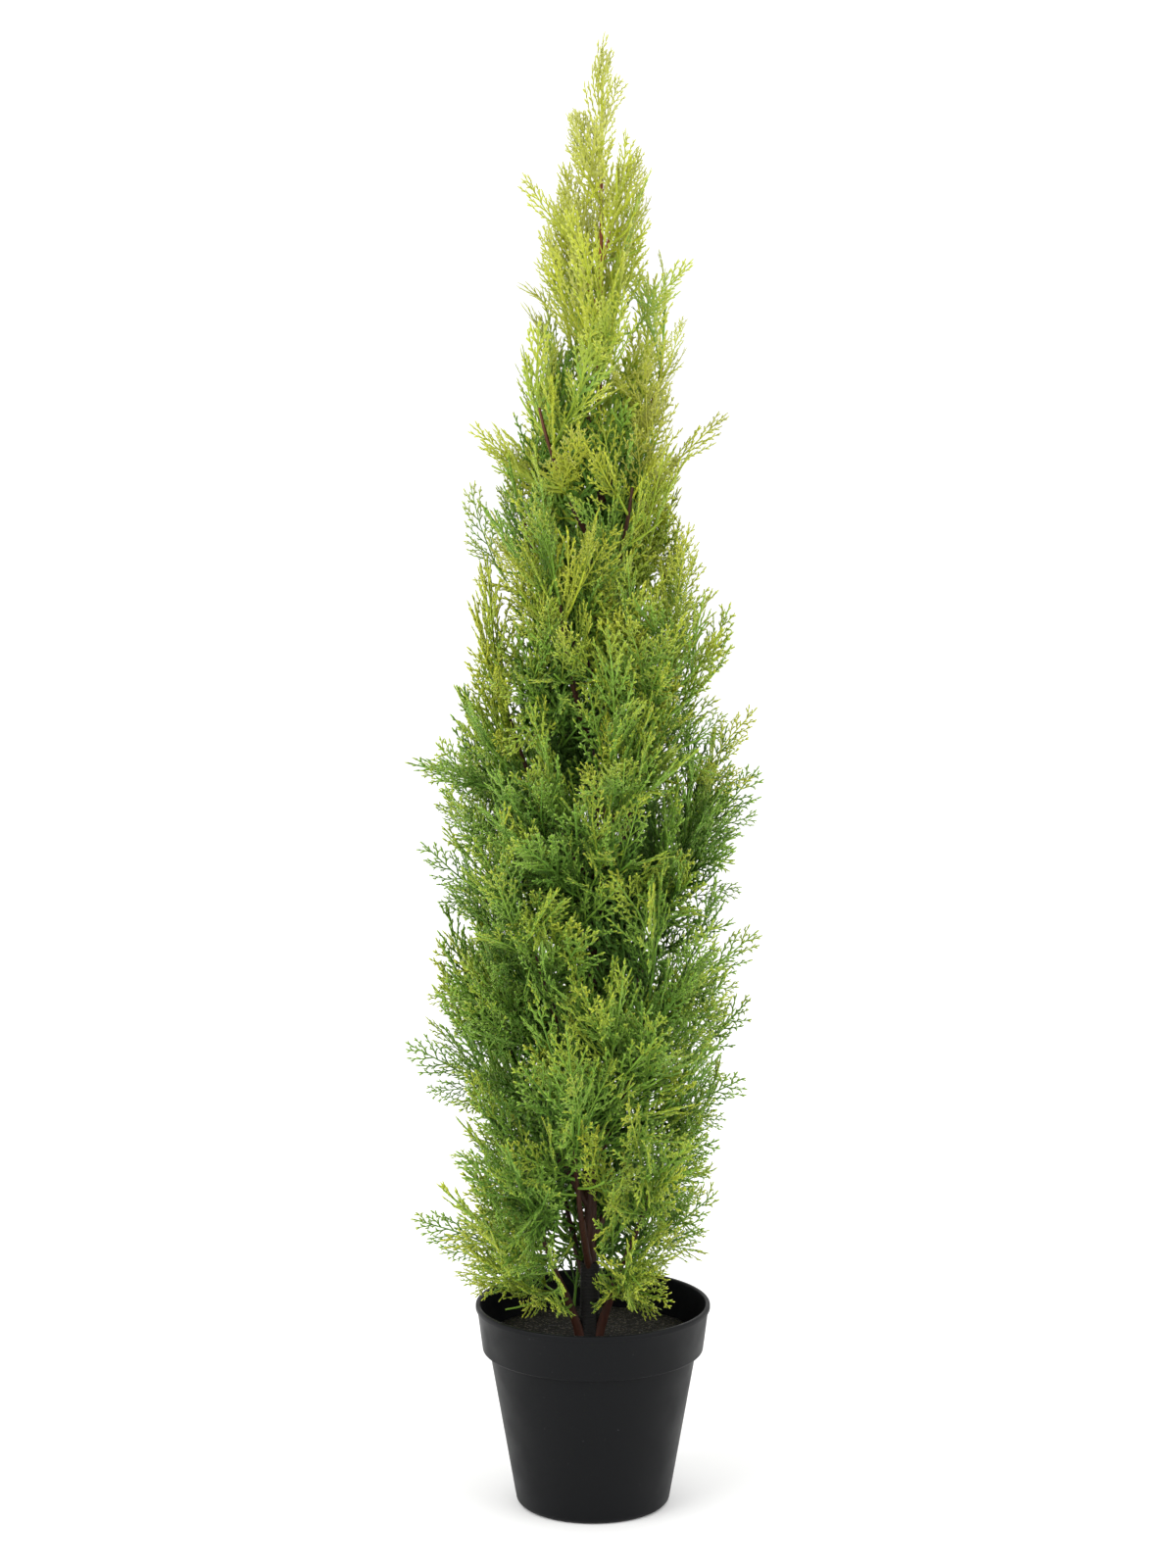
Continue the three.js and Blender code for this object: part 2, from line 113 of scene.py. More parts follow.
def round_ring(piece, radius, height, width, steps):
    """Bevels the ring of edges that lies at a radius and a height."""
    bpy.ops.mesh.select_mode(type="EDGE")
    bpy.ops.mesh.select_all(action="DESELECT")
    edit = bmesh.from_edit_mesh(piece.data)
    for edge in edit.edges:
        level = all(abs(corner.co.z - height) < NEAR for corner in edge.verts)
        edge.select_set(level and all(abs(corner.co.xy.length - radius) < NEAR for corner in edge.verts))
    bmesh.update_edit_mesh(piece.data)
    bpy.ops.mesh.bevel(offset=width, segments=steps, affect="EDGES")


def linear(colour):
    """An sRGB hex colour as linear red, green, blue and alpha."""
    parts = [int(colour[i:i + 2], 16) / 255 for i in (1, 3, 5)]
    return [p / 12.92 if p <= 0.04045 else ((p + 0.055) / 1.055) ** 2.4 for p in parts] + [1.0]


def set_node(material, node, settings, links):
    """Sets a node's sockets or properties, and links its inputs to outputs or to nodes' first outputs."""
    for name, value in settings.items():
        if name in node.inputs:
            node.inputs[name].default_value = value
        else:
            setattr(node, name, value)
    for name, source in links.items():
        output = source.outputs[0] if isinstance(source, bpy.types.Node) else source
        material.node_tree.links.new(output, node.inputs[name])
    return node


def add_node(material, kind, settings, links):
    """Adds a node with its settings and links."""
    return set_node(material, material.node_tree.nodes.new(f"ShaderNode{kind}"), settings, links)


def new_material(name):
    """A material, its shader, and the output that gives each point's place in the piece."""
    material = bpy.data.materials.new(name)
    material.use_nodes = True
    place = add_node(material, "TexCoord", {}, {}).outputs["Object"]
    return material, material.node_tree.nodes["Principled BSDF"], place


def per_mm(size):
    """The scale of a pattern whose cells are this many millimetres wide."""
    return 1 / (size * MM)


def finish_piece(piece, nodes, smooth_angle):
    """Leaves edit mode, smooths the piece up to an angle, and gives it its place in the frame."""
    bpy.ops.object.mode_set(mode="OBJECT")
    bpy.ops.object.select_all(action="DESELECT")
    piece.select_set(True)
    bpy.context.view_layer.objects.active = piece
    bpy.ops.object.shade_smooth_by_angle(angle=math.radians(smooth_angle))
    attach(piece, "root")
    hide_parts(*nodes)


collar_foot = POT_HEIGHT - COLLAR_HEIGHT
body_top = collar_foot - SHOULDER_DROP
lip_foot = POT_HEIGHT - LIP_DEPTH
collar_round = []
for angle in map(math.radians, STEP_ANGLES):
    radius = lerp(BODY_TOP_RADIUS, COLLAR_FOOT_RADIUS, math.cos(angle))
    collar_round.append((radius, collar_foot - SHOULDER_DROP * math.sin(angle)))
pot_profile = [
    (BASE_RADIUS, 0),
    (BODY_TOP_RADIUS, body_top),
    *collar_round,
    (COLLAR_TOP_RADIUS, lip_foot),
    (LIP_RADIUS, lip_foot),
    (LIP_RADIUS, POT_HEIGHT),
    (COLLAR_TOP_RADIUS - POT_WALL, POT_HEIGHT),
    (COLLAR_TOP_RADIUS - POT_WALL, lip_foot),
    (COLLAR_FOOT_RADIUS - POT_WALL, collar_foot),
    (BODY_TOP_RADIUS - POT_WALL, body_top),
    (BASE_RADIUS - POT_WALL, POT_FLOOR),
]
pot = start_disc("pot_tub", POT_SIDES, BASE_RADIUS, (0, 0, 0))
draw_out([(Vector((0, 0, height)), radius) for radius, height in pot_profile])
round_ring(pot, BASE_RADIUS, 0, BASE_ROUND, 5)
round_ring(pot, COLLAR_TOP_RADIUS, lip_foot, LIP_ROOT_ROUND, 2)
round_ring(pot, LIP_RADIUS, lip_foot, LIP_FOOT_ROUND, 2)
round_ring(pot, LIP_RADIUS, POT_HEIGHT, LIP_TOP_ROUND, 4)
round_ring(pot, COLLAR_TOP_RADIUS - POT_WALL, POT_HEIGHT, MOUTH_ROUND, 3)

# Moulded black polypropylene: near black and matt, with a fine grain from the mould, a soft sheen where
# light grazes it, and pale specks of dust and rubs from handling.
pot_plastic, shader, place = new_material("moulded black polypropylene")
grain, clouding, specks = [
    add_node(pot_plastic, "TexNoise", {"Scale": per_mm(size), "Detail": detail}, {"Vector": place})
    for size, detail in ((1.1, 3), (30, 4), (2.4, 2))
]
dusty = add_node(
    pot_plastic, "MapRange",
    {"From Min": 0.74, "From Max": 0.8, "To Max": 0.4}, {"Value": specks},
)
tint = add_node(
    pot_plastic, "MixRGB", {"Color1": linear("#090a0c"), "Color2": linear("#0d0e10")}, {"Fac": clouding},
)
dusted = add_node(pot_plastic, "MixRGB", {"Color2": linear("#55565a")}, {"Fac": dusty, "Color1": tint})
gloss = add_node(
    pot_plastic, "MapRange",
    {"From Min": 0.3, "From Max": 0.7, "To Min": 0.4, "To Max": 0.54}, {"Value": clouding},
)
relief = add_node(pot_plastic, "Bump", {"Strength": 0.5, "Distance": 0.16 * MM}, {"Height": grain})
set_node(
    pot_plastic, shader, {"IOR": 1.49, "Specular IOR Level": 0.12},
    {"Base Color": dusted, "Roughness": gloss, "Normal": relief},
)
pot.data.materials.append(pot_plastic)
finish_piece(pot, ["pot"], MOULDED_SMOOTH)

# Filler: a weak mix of cement and sharp sand, poured round the pole to hold it and weigh the pot down.
# It shrank a little from the wall as it set, and its top is rough with grit.
FILLER_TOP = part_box("filler")[1].z
FILLER_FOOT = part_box("filler")[0].z
FILLER_GAP = 1.2 * MM
FILLER_SIDES = 128
FILLER_EDGE = 2 * MM
FILLER_MIDDLE = 2 * MM
TOP_RINGS = 30
SETTLING = (9 * MM, 1.6 * MM)
GRIT = (2 * MM, 0.9 * MM)
SMOOTH_ALL = 180


def pot_inside(height):
    """The radius of the pot's inner wall at a height."""
    inner = sorted((z, r) for r, z in pot_profile[-4:])
    return float(np.interp(height, [z for z, r in inner], [r for z, r in inner]))


def roughen(piece, size, strength):
    """Lifts and sinks a piece along its normals by clouds of a size, and applies it."""
    pattern = bpy.data.textures.new(f"{piece.name} clouds", "CLOUDS")
    pattern.noise_scale = size
    rough = piece.modifiers.new("rough", "DISPLACE")
    rough.texture = pattern
    rough.texture_coords = "LOCAL"
    rough.strength = strength
    bpy.ops.object.modifier_apply(modifier=rough.name)


filler_rings = [
    (Vector((0, 0, height)), pot_inside(height) - FILLER_GAP)
    for height in (FILLER_FOOT, body_top, collar_foot, FILLER_TOP - FILLER_EDGE, FILLER_TOP)
]
filler = start_disc("filler_block", FILLER_SIDES, filler_rings[0][1], (0, 0, FILLER_FOOT))
draw_out(filler_rings)
for _ in range(TOP_RINGS):
    bpy.ops.mesh.inset(thickness=(filler_rings[-1][1] - FILLER_MIDDLE) / TOP_RINGS)
bpy.ops.object.mode_set(mode="OBJECT")
roughen(filler, *SETTLING)
roughen(filler, *GRIT)

# Cement and sand: dull grey-brown paste with paler and darker grains, a few of them glittering.
filler_mix, shader, place = new_material("cement and sharp sand")
grains = add_node(filler_mix, "TexVoronoi", {"Scale": per_mm(1.3)}, {"Vector": place})
damp = add_node(filler_mix, "TexNoise", {"Scale": per_mm(14), "Detail": 4}, {"Vector": place})
paste = add_node(
    filler_mix, "MixRGB", {"Color1": linear("#13130e"), "Color2": linear("#23221a")}, {"Fac": damp},
)
one_grain = add_node(filler_mix, "SeparateColor", {}, {"Color": grains.outputs["Color"]}).outputs
pale = add_node(
    filler_mix, "MapRange", {"From Min": 0.8, "To Max": 0.3}, {"Value": one_grain["Red"]},
)
sandy = add_node(filler_mix, "MixRGB", {"Color2": linear("#9a907d")}, {"Fac": pale, "Color1": paste})
glitter = add_node(
    filler_mix, "MapRange",
    {"From Min": 0.8, "To Min": 0.92, "To Max": 0.35}, {"Value": one_grain["Green"]},
)
relief = add_node(
    filler_mix, "Bump", {"Strength": 0.8, "Distance": 0.7 * MM}, {"Height": grains.outputs["Distance"]},
)
set_node(
    filler_mix, shader, {"Specular IOR Level": 0.2},
    {"Base Color": sandy, "Roughness": glitter, "Normal": relief},
)
filler.data.materials.append(filler_mix)
finish_piece(filler, ["filler"], SMOOTH_ALL)

# Pole: a steel-cored pole that carries the whole tree, bound at its foot with overlapping turns of black
# tape. It leans and bows a little, and runs on inside the bundle of stems to just under the tree's tip.
HEIGHT = cad_box[1][2]
SEAT_GAP = 0.3 * MM
TRUNK_FOOT = FILLER_TOP + SEAT_GAP
TRUNK_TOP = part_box("trunk")[1].z
TRUNK_FOOT_X = -3 * MM
TRUNK_TIP_X = 7 * MM
TRUNK_BOW = 3 * MM
TRUNK_FOOT_RADIUS = 8.3 * MM
TRUNK_TIP_RADIUS = 2 * MM
POLE_SHARE = 0.34
POLE_SIDES = 24
TAPE_TOP = 206 * MM
TAPE_PITCH = 2.7 * MM
TAPE_STEP = 0.45 * MM
TAPE_TURN = ((0.2, 0), (0.85, 0.35), (1.0, 1.0))  # how far up one turn, and how far sunk under the next
TAPE_EDGE = 1 * MM
TAPE_SMOOTH = 25
POLE_STEP = 30 * MM


def trunk_share(height):
    """How far up the trunk a height is, or an array of heights."""
    return np.clip((height - TRUNK_FOOT) / (TRUNK_TOP - TRUNK_FOOT), 0, 1)


def trunk_shift(height):
    """How far the trunk's lean and bow carry it across and back at a height, or an array of heights."""
    share = trunk_share(height)
    return lerp(TRUNK_FOOT_X, TRUNK_TIP_X, share), 4 * TRUNK_BOW * share * (1 - share)


def trunk_at(height):
    """The middle of the trunk at a height."""
    return Vector((*trunk_shift(height), lerp(TRUNK_FOOT, TRUNK_TOP, trunk_share(height))))


def trunk_radius(height):
    """The trunk's radius at a height, between its foot and its tip."""
    return float(lerp(TRUNK_FOOT_RADIUS, TRUNK_TIP_RADIUS, trunk_share(height)))


pole_rings = [(trunk_at(TRUNK_FOOT), trunk_radius(TRUNK_FOOT))]
for turn in range(int((TAPE_TOP - TRUNK_FOOT) / TAPE_PITCH)):
    low = TRUNK_FOOT + turn * TAPE_PITCH
    for rise, sunk in TAPE_TURN:
        height = low + rise * TAPE_PITCH
        pole_rings.append((trunk_at(height), trunk_radius(height) - sunk * TAPE_STEP))
tape_end = pole_rings[-1][0].z
for height in np.arange(tape_end + TAPE_EDGE, TRUNK_TOP, POLE_STEP).tolist():
    pole_rings.append((trunk_at(height), trunk_radius(height) * POLE_SHARE))
pole_rings.append((trunk_at(TRUNK_TOP), TRUNK_TIP_RADIUS * POLE_SHARE))
pole = start_disc("pole", POLE_SIDES, pole_rings[0][1], pole_rings[0][0])
draw_out(pole_rings)

# Black binding tape: stretched crepe film with a dull sheen and dust in its folds.
pole_tape, shader, place = new_material("black crepe binding tape")
crepe = add_node(pole_tape, "TexNoise", {"Scale": per_mm(1.2), "Detail": 3}, {"Vector": place})
dust = add_node(
    pole_tape, "MixRGB", {"Color1": linear("#0c0b0a"), "Color2": linear("#1b1917")}, {"Fac": crepe},
)
relief = add_node(pole_tape, "Bump", {"Strength": 0.5, "Distance": 0.3 * MM}, {"Height": crepe})
set_node(
    pole_tape, shader, {"Roughness": 0.6, "Specular IOR Level": 0.3},
    {"Base Color": dust, "Normal": relief},
)
pole.data.materials.append(pole_tape)
finish_piece(pole, ["trunk"], TAPE_SMOOTH)

# Bundle: the feet of the moulded stems, bound close round the pole above the tape, so that the trunk
# reads as one ridged red-brown stem. They wind slowly and thin out towards the top.
BUNDLE_STEMS = 5
BUNDLE_TURN = 420 * MM
BUNDLE_STEP = 5 * MM
BUNDLE_SIDES = 9
BUNDLE_SHARE = 0.68
STEM_SHARE = 0.46
FOOT_UNDER_TAPE = (4, 9)  # millimetres
BUNDLE_END = 2 * MM
BUNDLE_BARK = 0.09
BARK_LINES = 3
BARK_SWAY = 0.9
BARK_WANDER = 11 * MM
KNOT_SPACING = 7 * MM
KNOT_SHARE = 0.5
ALL_ROUND = 6.28
LIMB_SMOOTH = 50
SEED = 7023


def unit(vectors):
    """Vectors scaled to a length of one."""
    return vectors / np.linalg.norm(vectors, axis=-1, keepdims=True)


def tube(points, radii, sides, bark, draw):
    """Corners and triangles of a closed limb along points. bark lifts wandering lines along it."""
    points = np.array(points, float)
    radii = np.array(radii, float)
    rings = len(points)
    heading = unit(np.gradient(points, axis=0))
    spare = np.array((0, 1, 0)) if abs(heading[0][1]) < 0.8 else np.array((1, 0, 0))
    first = unit(np.cross(heading, spare))
    second = np.cross(heading, first)
    angle = 2 * math.pi * np.arange(sides) / sides
    run = np.concatenate(([0], np.cumsum(np.linalg.norm(np.diff(points, axis=0), axis=1))))
    first_turn, sway_start, knot_start, knot_turn = [draw.uniform(0, ALL_ROUND) for _ in range(4)]
    wander = first_turn + BARK_SWAY * np.sin(run / BARK_WANDER + sway_start)
    lines = np.cos(BARK_LINES * angle[None, :] + wander[:, None])
    knots = np.sin(run / KNOT_SPACING + knot_start)[:, None] * np.cos(angle + knot_turn)
    reach = radii[:, None] * (1 + bark * lines + KNOT_SHARE * bark * knots)
    out = np.cos(angle)[None, :, None] * first[:, None] + np.sin(angle)[None, :, None] * second[:, None]
    corners = (points[:, None] + reach[..., None] * out).reshape(-1, 3)
    corners = np.concatenate((corners, points[:1], points[-1:]))
    ring, side = np.meshgrid(np.arange(rings - 1), np.arange(sides), indexing="ij")
    here, beside = ring * sides + side, ring * sides + (side + 1) % sides
    above, across = here + sides, beside + sides
    walls = np.stack((here, across, above, here, beside, across), -1).reshape(-1, 3)
    low, high = rings * sides, rings * sides + 1
    own, following = np.arange(sides), (np.arange(sides) + 1) % sides
    last = (rings - 1) * sides
    foot = np.stack((np.full(sides, low), following, own), -1)
    tip = np.stack((np.full(sides, high), last + own, last + following), -1)
    return corners, np.concatenate((walls, foot, tip))


def merged(parts):
    """The corners and triangles of many parts as one."""
    starts = np.cumsum([0] + [len(part[0]) for part in parts])
    triangles = [part[1] + start for part, start in zip(parts, starts)]
    return np.concatenate([part[0] for part in parts]), np.concatenate(triangles)


def joined(name, parts, materials):
    """One piece from many parts: corners, triangles, and a material's number or one for each triangle."""
    corners, triangles = merged(parts)
    shades = np.concatenate([np.full(len(part[1]), part[2]) for part in parts])
    mesh = bpy.data.meshes.new(name)
    mesh.vertices.add(len(corners))
    mesh.vertices.foreach_set("co", corners.astype(np.float32).ravel())
    mesh.loops.add(3 * len(triangles))
    mesh.loops.foreach_set("vertex_index", triangles.astype(np.int32).ravel())
    mesh.polygons.add(len(triangles))
    mesh.polygons.foreach_set("loop_start", np.arange(0, 3 * len(triangles), 3, dtype=np.int32))
    mesh.polygons.foreach_set("material_index", shades.astype(np.int32))
    for material in materials:
        mesh.materials.append(material)
    mesh.update(calc_edges=True)
    mesh.validate()
    piece = bpy.data.objects.new(name, mesh)
    bpy.context.scene.collection.objects.link(piece)
    bpy.context.view_layer.objects.active = piece
    return piece


# Moulded brown polyethylene: red-brown stems with a waxy dull surface and dark moulded bark lines. They
# are painted redder and brighter towards the top as painted light, for the upper stems catch more light.
stem_plastic, shader, place = new_material("moulded brown polyethylene")
stretch = add_node(stem_plastic, "Mapping", {"Scale": (1, 1, 0.18)}, {"Vector": place})
lines = add_node(stem_plastic, "TexNoise", {"Scale": per_mm(1.6), "Detail": 4}, {"Vector": stretch})
bark = add_node(
    stem_plastic, "MixRGB", {"Color1": linear("#1e100b"), "Color2": linear("#522c1d")}, {"Fac": lines},
)
height = add_node(stem_plastic, "SeparateXYZ", {}, {"Vector": place}).outputs["Z"]
# painted light: from 850 mm up the stems are painted redder and brighter, for the light on the upper
# stems
painted_top_light = add_node(
    stem_plastic, "MapRange",
    {"From Min": 850 * MM, "From Max": 1050 * MM, "To Max": 0.75}, {"Value": height},
)
bark_and_painted_light = add_node(stem_plastic, "MixRGB", {"Color2": linear("#94502a")}, {"Fac": painted_top_light, "Color1": bark})
relief = add_node(stem_plastic, "Bump", {"Strength": 0.7, "Distance": 0.5 * MM}, {"Height": lines})
set_node(
    stem_plastic, shader, {"IOR": 1.51, "Roughness": 0.55, "Specular IOR Level": 0.35},
    {"Base Color": bark_and_painted_light, "Normal": relief},
)

bundle_draw = random.Random(SEED)
bundle_parts = []
for number in range(BUNDLE_STEMS):
    start = tape_end - bundle_draw.uniform(*FOOT_UNDER_TAPE) * MM
    heights = np.arange(start, TRUNK_TOP - BUNDLE_END, BUNDLE_STEP).tolist()
    points = []
    radii = []
    for height in heights:
        turn = 2 * math.pi * (number / BUNDLE_STEMS + (height - start) / BUNDLE_TURN)
        bundle_radius = BUNDLE_SHARE * trunk_radius(height)
        apart = bundle_radius * (1 - STEM_SHARE)
        points.append(trunk_at(height) + apart * Vector((math.cos(turn), math.sin(turn), 0)))
        radii.append(bundle_radius * STEM_SHARE)
    bundle_parts.append((*tube(points, radii, BUNDLE_SIDES, BUNDLE_BARK, bundle_draw), 0))
bundle = joined("bundle", bundle_parts, [stem_plastic])
finish_piece(bundle, ["trunk"], LIMB_SMOOTH)

# Boughs: moulded brown limbs pegged into the pole, each rising steeply and thinning to where its mass of
# foliage begins. They go round the pole by the golden turn, shorter and closer together near the pot.
CROWN_RADIUS = 124 * MM
CROWN_WAIST = 500 * MM
CROWN_SKIRT = 190 * MM
SKIRT_SHARE = 0.84
BOUGHS = 23
TOP_SHOOTS = 6
FIRST_FOOT = 147 * MM
FOOT_SPACING = 33.5 * MM
CLOSE_FEET = 5
CLOSE_SHARE = 0.35
TOP_CROWDING = 0.25
FIRST_TURN = math.radians(205)
GOLDEN_TURN = math.radians(137.508)
BOUGH_FOOT_TILT = math.radians(36)
BOUGH_TIP_TILT = math.radians(27)
STEM_TIP_TILT = math.radians(14)
BOUGH_REACH = 0.34
LOW_BOUGH_SHARE = 0.62
BOUGH_FOOT_RADIUS = 3.2 * MM
CAST_FOOT_RADIUS = 4.1 * MM
BOUGH_TIP_RADIUS = 2.7 * MM
CAST_BOUGHS = 2
CAST_FOOT_OUT = 7 * MM
CAST_ARCH = 2 * MM
BOUGH_SIDES = 12
BOUGH_RINGS = 22
BOUGH_BARK = 0.1
FOOT_SWELL = 0.3
SWELL_RINGS = 2.5
STEM_LENGTH = 84 * MM
STEM_STEPS = 12
LEAST_SIZE = 0.55
LEADER_STEM = 46 * MM
LEADER_SIZE = 0.52
UP = Vector((0, 0, 1))
FRONT = Vector((0, -1, 0))


def crown_radius(height):
    """The crown's outline: fullest at its waist, drawn in to the tip and a little to the skirt."""
    rise = np.maximum(0, height - CROWN_WAIST) / (HEIGHT - CROWN_WAIST)
    drop = np.maximum(0, CROWN_WAIST - height) / (CROWN_WAIST - CROWN_SKIRT)
    return CROWN_RADIUS * (1 - rise ** 2 - (1 - SKIRT_SHARE) * drop ** 2)


def direction(turn, tilt):
    """A heading by its turn round the trunk and its tilt from upright."""
    return Vector((math.cos(turn) * math.sin(tilt), math.sin(turn) * math.sin(tilt), math.cos(tilt)))


def curve(start, bend, end, steps):
    """Points on a curve from a start to an end that bends towards a third point."""
    shares = [step / steps for step in range(steps + 1)]
    return [start * (1 - s) ** 2 + bend * (2 * s * (1 - s)) + end * s ** 2 for s in shares]


def bent_line(start, leaving, ending, length, steps):
    """Points on a curve that leaves a point one way and ends another way."""
    bend = start + leaving * length / 2
    return curve(start, bend, bend + ending * length / 2, steps)


def lay_out():
    """Where each mass of foliage grows: its bough, if it has one, and its stem."""
    places = []
    foot_height = FIRST_FOOT
    for i in range(BOUGHS + TOP_SHOOTS):
        turn = FIRST_TURN + i * GOLDEN_TURN
        column = float(crown_radius(foot_height + STEM_LENGTH))
        size = lerp(LEAST_SIZE, 1, column / CROWN_RADIUS)
        foot = trunk_at(foot_height)
        tilts = (BOUGH_FOOT_TILT, BOUGH_TIP_TILT, STEM_TIP_TILT)
        leaving, rising, ending = [direction(turn, tilt) for tilt in tilts]
        spot = {"turn": turn, "size": size, "leader": False, "node": f"foliage_{i + 1:02d}"}
        if i < BOUGHS:
            short = lerp(LOW_BOUGH_SHARE, 1, min(1, i / CLOSE_FEET))
            length = short * column * BOUGH_REACH / math.sin((BOUGH_FOOT_TILT + BOUGH_TIP_TILT) / 2)
            spot["bough"] = bent_line(foot, leaving, rising, length, BOUGH_RINGS)
            foot = spot["bough"][-1]
        spot["stem"] = bent_line(foot, rising, ending, STEM_LENGTH * size, STEM_STEPS)
        places.append(spot)
        crowd = lerp(CLOSE_SHARE, 1, min(1, i / CLOSE_FEET))
        foot_height += FOOT_SPACING * crowd * CROWN_RADIUS / lerp(CROWN_RADIUS, column, TOP_CROWDING)
    places.append({
        "turn": 0, "size": LEADER_SIZE, "leader": True, "node": "foliage_leader",
        "stem": bent_line(trunk_at(TRUNK_TOP), UP, UP, LEADER_STEM, STEM_STEPS),
    })
    return places


places = lay_out()
bough_draw = random.Random(SEED + 1)
bough_parts = []
for order, spot in enumerate(places[:BOUGHS]):
    line = spot["bough"]
    foot_radius = BOUGH_FOOT_RADIUS
    if order < CAST_BOUGHS:
        # the two lowest are cast into the filler beside the pole
        foot = trunk_at(FILLER_TOP) + direction(spot["turn"], math.pi / 2) * CAST_FOOT_OUT
        line = curve(foot, foot.lerp(line[-1], 0.5) + UP * CAST_ARCH, line[-1], BOUGH_RINGS)
        foot_radius = CAST_FOOT_RADIUS
    swell = [1 + FOOT_SWELL * math.exp(-ring / SWELL_RINGS) for ring in range(BOUGH_RINGS + 1)]
    tip = BOUGH_TIP_RADIUS * spot["size"]
    radii = [lerp(foot_radius, tip, i / BOUGH_RINGS) * s for i, s in enumerate(swell)]
    bough_parts.append((*tube(line, radii, BOUGH_SIDES, BOUGH_BARK, bough_draw), 0))
boughs = joined("boughs", bough_parts, [stem_plastic])
finish_piece(boughs, [f"bough_{i + 1:02d}" for i in range(BOUGHS)], LIMB_SMOOTH)

# Foliage: each bough runs on as the stem of its mass, divides into wiry twigs and ends in ferny sprays,
# all moulded in soft plastic and pushed together: brown stems, green twigs, and sprays with paler ends.
# Twigs fan outwards, wide near the mass's foot and steep near its tip, and a few leave the bough.
FOLIAGE_SEED = 26123
SPRAYS_SEED = FOLIAGE_SEED + 100
OUTLYING_SEED = FOLIAGE_SEED + 200
PATTERN_SEED = SEED + 2
GOLDEN_SHARE = 0.618
TWIGS = 11
TOP_TWIGS = 8
LEADER_TWIGS = 4
BOUGH_TWIGS = 4
SKIRT_BOUGH_TWIGS = 7
MOUTH_TWIGS = 4
MOUTH_TWIG_SPREAD = (-0.2, 0.5)
TWIG_FEET = (0.04, 0.97)
BOUGH_TWIG_FEET = (0.4, 0.95)
MOUTH_TWIG_FEET = (0.35, 0.8)
TWIG_LENGTH = 58 * MM
TWIG_TRIES = (1, 0.8, 0.6, 0.4)
BOUGH_TWIG_SHARE = 0.8
LEADER_TWIG_SHARE = 0.5
TWIG_WIDE_TURN = math.radians(66)
TWIG_TIP_TURN = math.radians(26)
LAST_TWIG_TURN = 0.3
TWIG_FAN = math.radians(150)
TWIG_LIFT = 0.5
TWIG_SIDES = 5
TWIG_STEPS = 6
TWIG_BARK = 0.05
TWIG_DEEPER = 0.5
STEM_SIDES = 7
STEM_BARK = 0.08
LEADER_GREEN = 1
STEM_FOOT_RADIUS = 2.4 * MM
STEM_TIP_RADIUS = 1.3 * MM
TWIG_FOOT_RADIUS = 1.3 * MM
TWIG_TIP_RADIUS = 0.7 * MM
SKIRT_MASSES = 5
SKIRT_TURN = math.radians(30)
SKIRT_LEAN = -14 * MM
SKIRT_LIFT = (-0.5, 0.3)
CROWN_REACH = (0.96, 1.1)
LOW_CROWN_REACH = (0.9, 1.22)
LOW_MASSES = 13
TWIG_REACH = 0.85
STRAY_REACH = (1.15, 1.38)
STRAY_SHARE = 0.3
STRAY_LENGTH = 1.25
UPPER_SLIM = 0.24
UPPER_SLIM_RATE = 2.2
WAIST_FULLNESS = 0.07
WAIST_HEIGHT = 490 * MM
WAIST_SPREAD = 80 * MM
LOWER_SLIM = 0.12
LOWER_SLIM_TOP = 420 * MM
LOWER_SLIM_DEPTH = 110 * MM
SPIRE_SLIM = 0.17
SPIRE_HEIGHT = 945 * MM
SPIRE_SPREAD = 38 * MM
NECK_SLIM = 0.03
NECK_LEAN = -14 * MM
NECK_HEIGHT = 825 * MM
NECK_SPREAD = 80 * MM
OUTERMOST = 157 * MM
TIP_MARGIN = 5 * MM
TOP_MARGIN = 12 * MM
MOUTH_RADIUS = COLLAR_FOOT_RADIUS - 8 * MM
MOUTH_DROP = 5 * MM
RIM_CLEARANCE = 3 * MM
TRUNK_WINDOW = (-9 * MM, 2 * MM)
TRUNK_WINDOW_FOOT = 196 * MM
TRUNK_WINDOW_TOP = 265 * MM
FEET_WINDOW = 42 * MM
FEET_WINDOW_TOP = 166 * MM
SIGHT_SLOPE = 0.176


def branching(heading, outward, turn, fan):
    """A heading that leaves another by an angle, turned round it from straight outwards."""
    side = (outward - heading * outward.dot(heading)).normalized()
    side = Matrix.Rotation(fan, 3, heading) @ side
    return heading * math.cos(turn) + side * math.sin(turn)


def on_line(line, share):
    """A point part of the way along a line, and the heading there."""
    at = share * (len(line) - 1)
    step = min(int(at), len(line) - 2)
    return line[step].lerp(line[step + 1], at - step), (line[step + 1] - line[step]).normalized()


def golden_fan(number, draw):
    """How far round a shoot leaves, from -1 to 1: a golden step on from the last, and a random one."""
    return 2 * ((number * GOLDEN_SHARE + draw.random()) % 1) - 1


def nearness(height, middle, spread):
    """How near a height is to a place on the crown, from 0 to 1."""
    return np.exp(-((height - middle) / spread) ** 2)


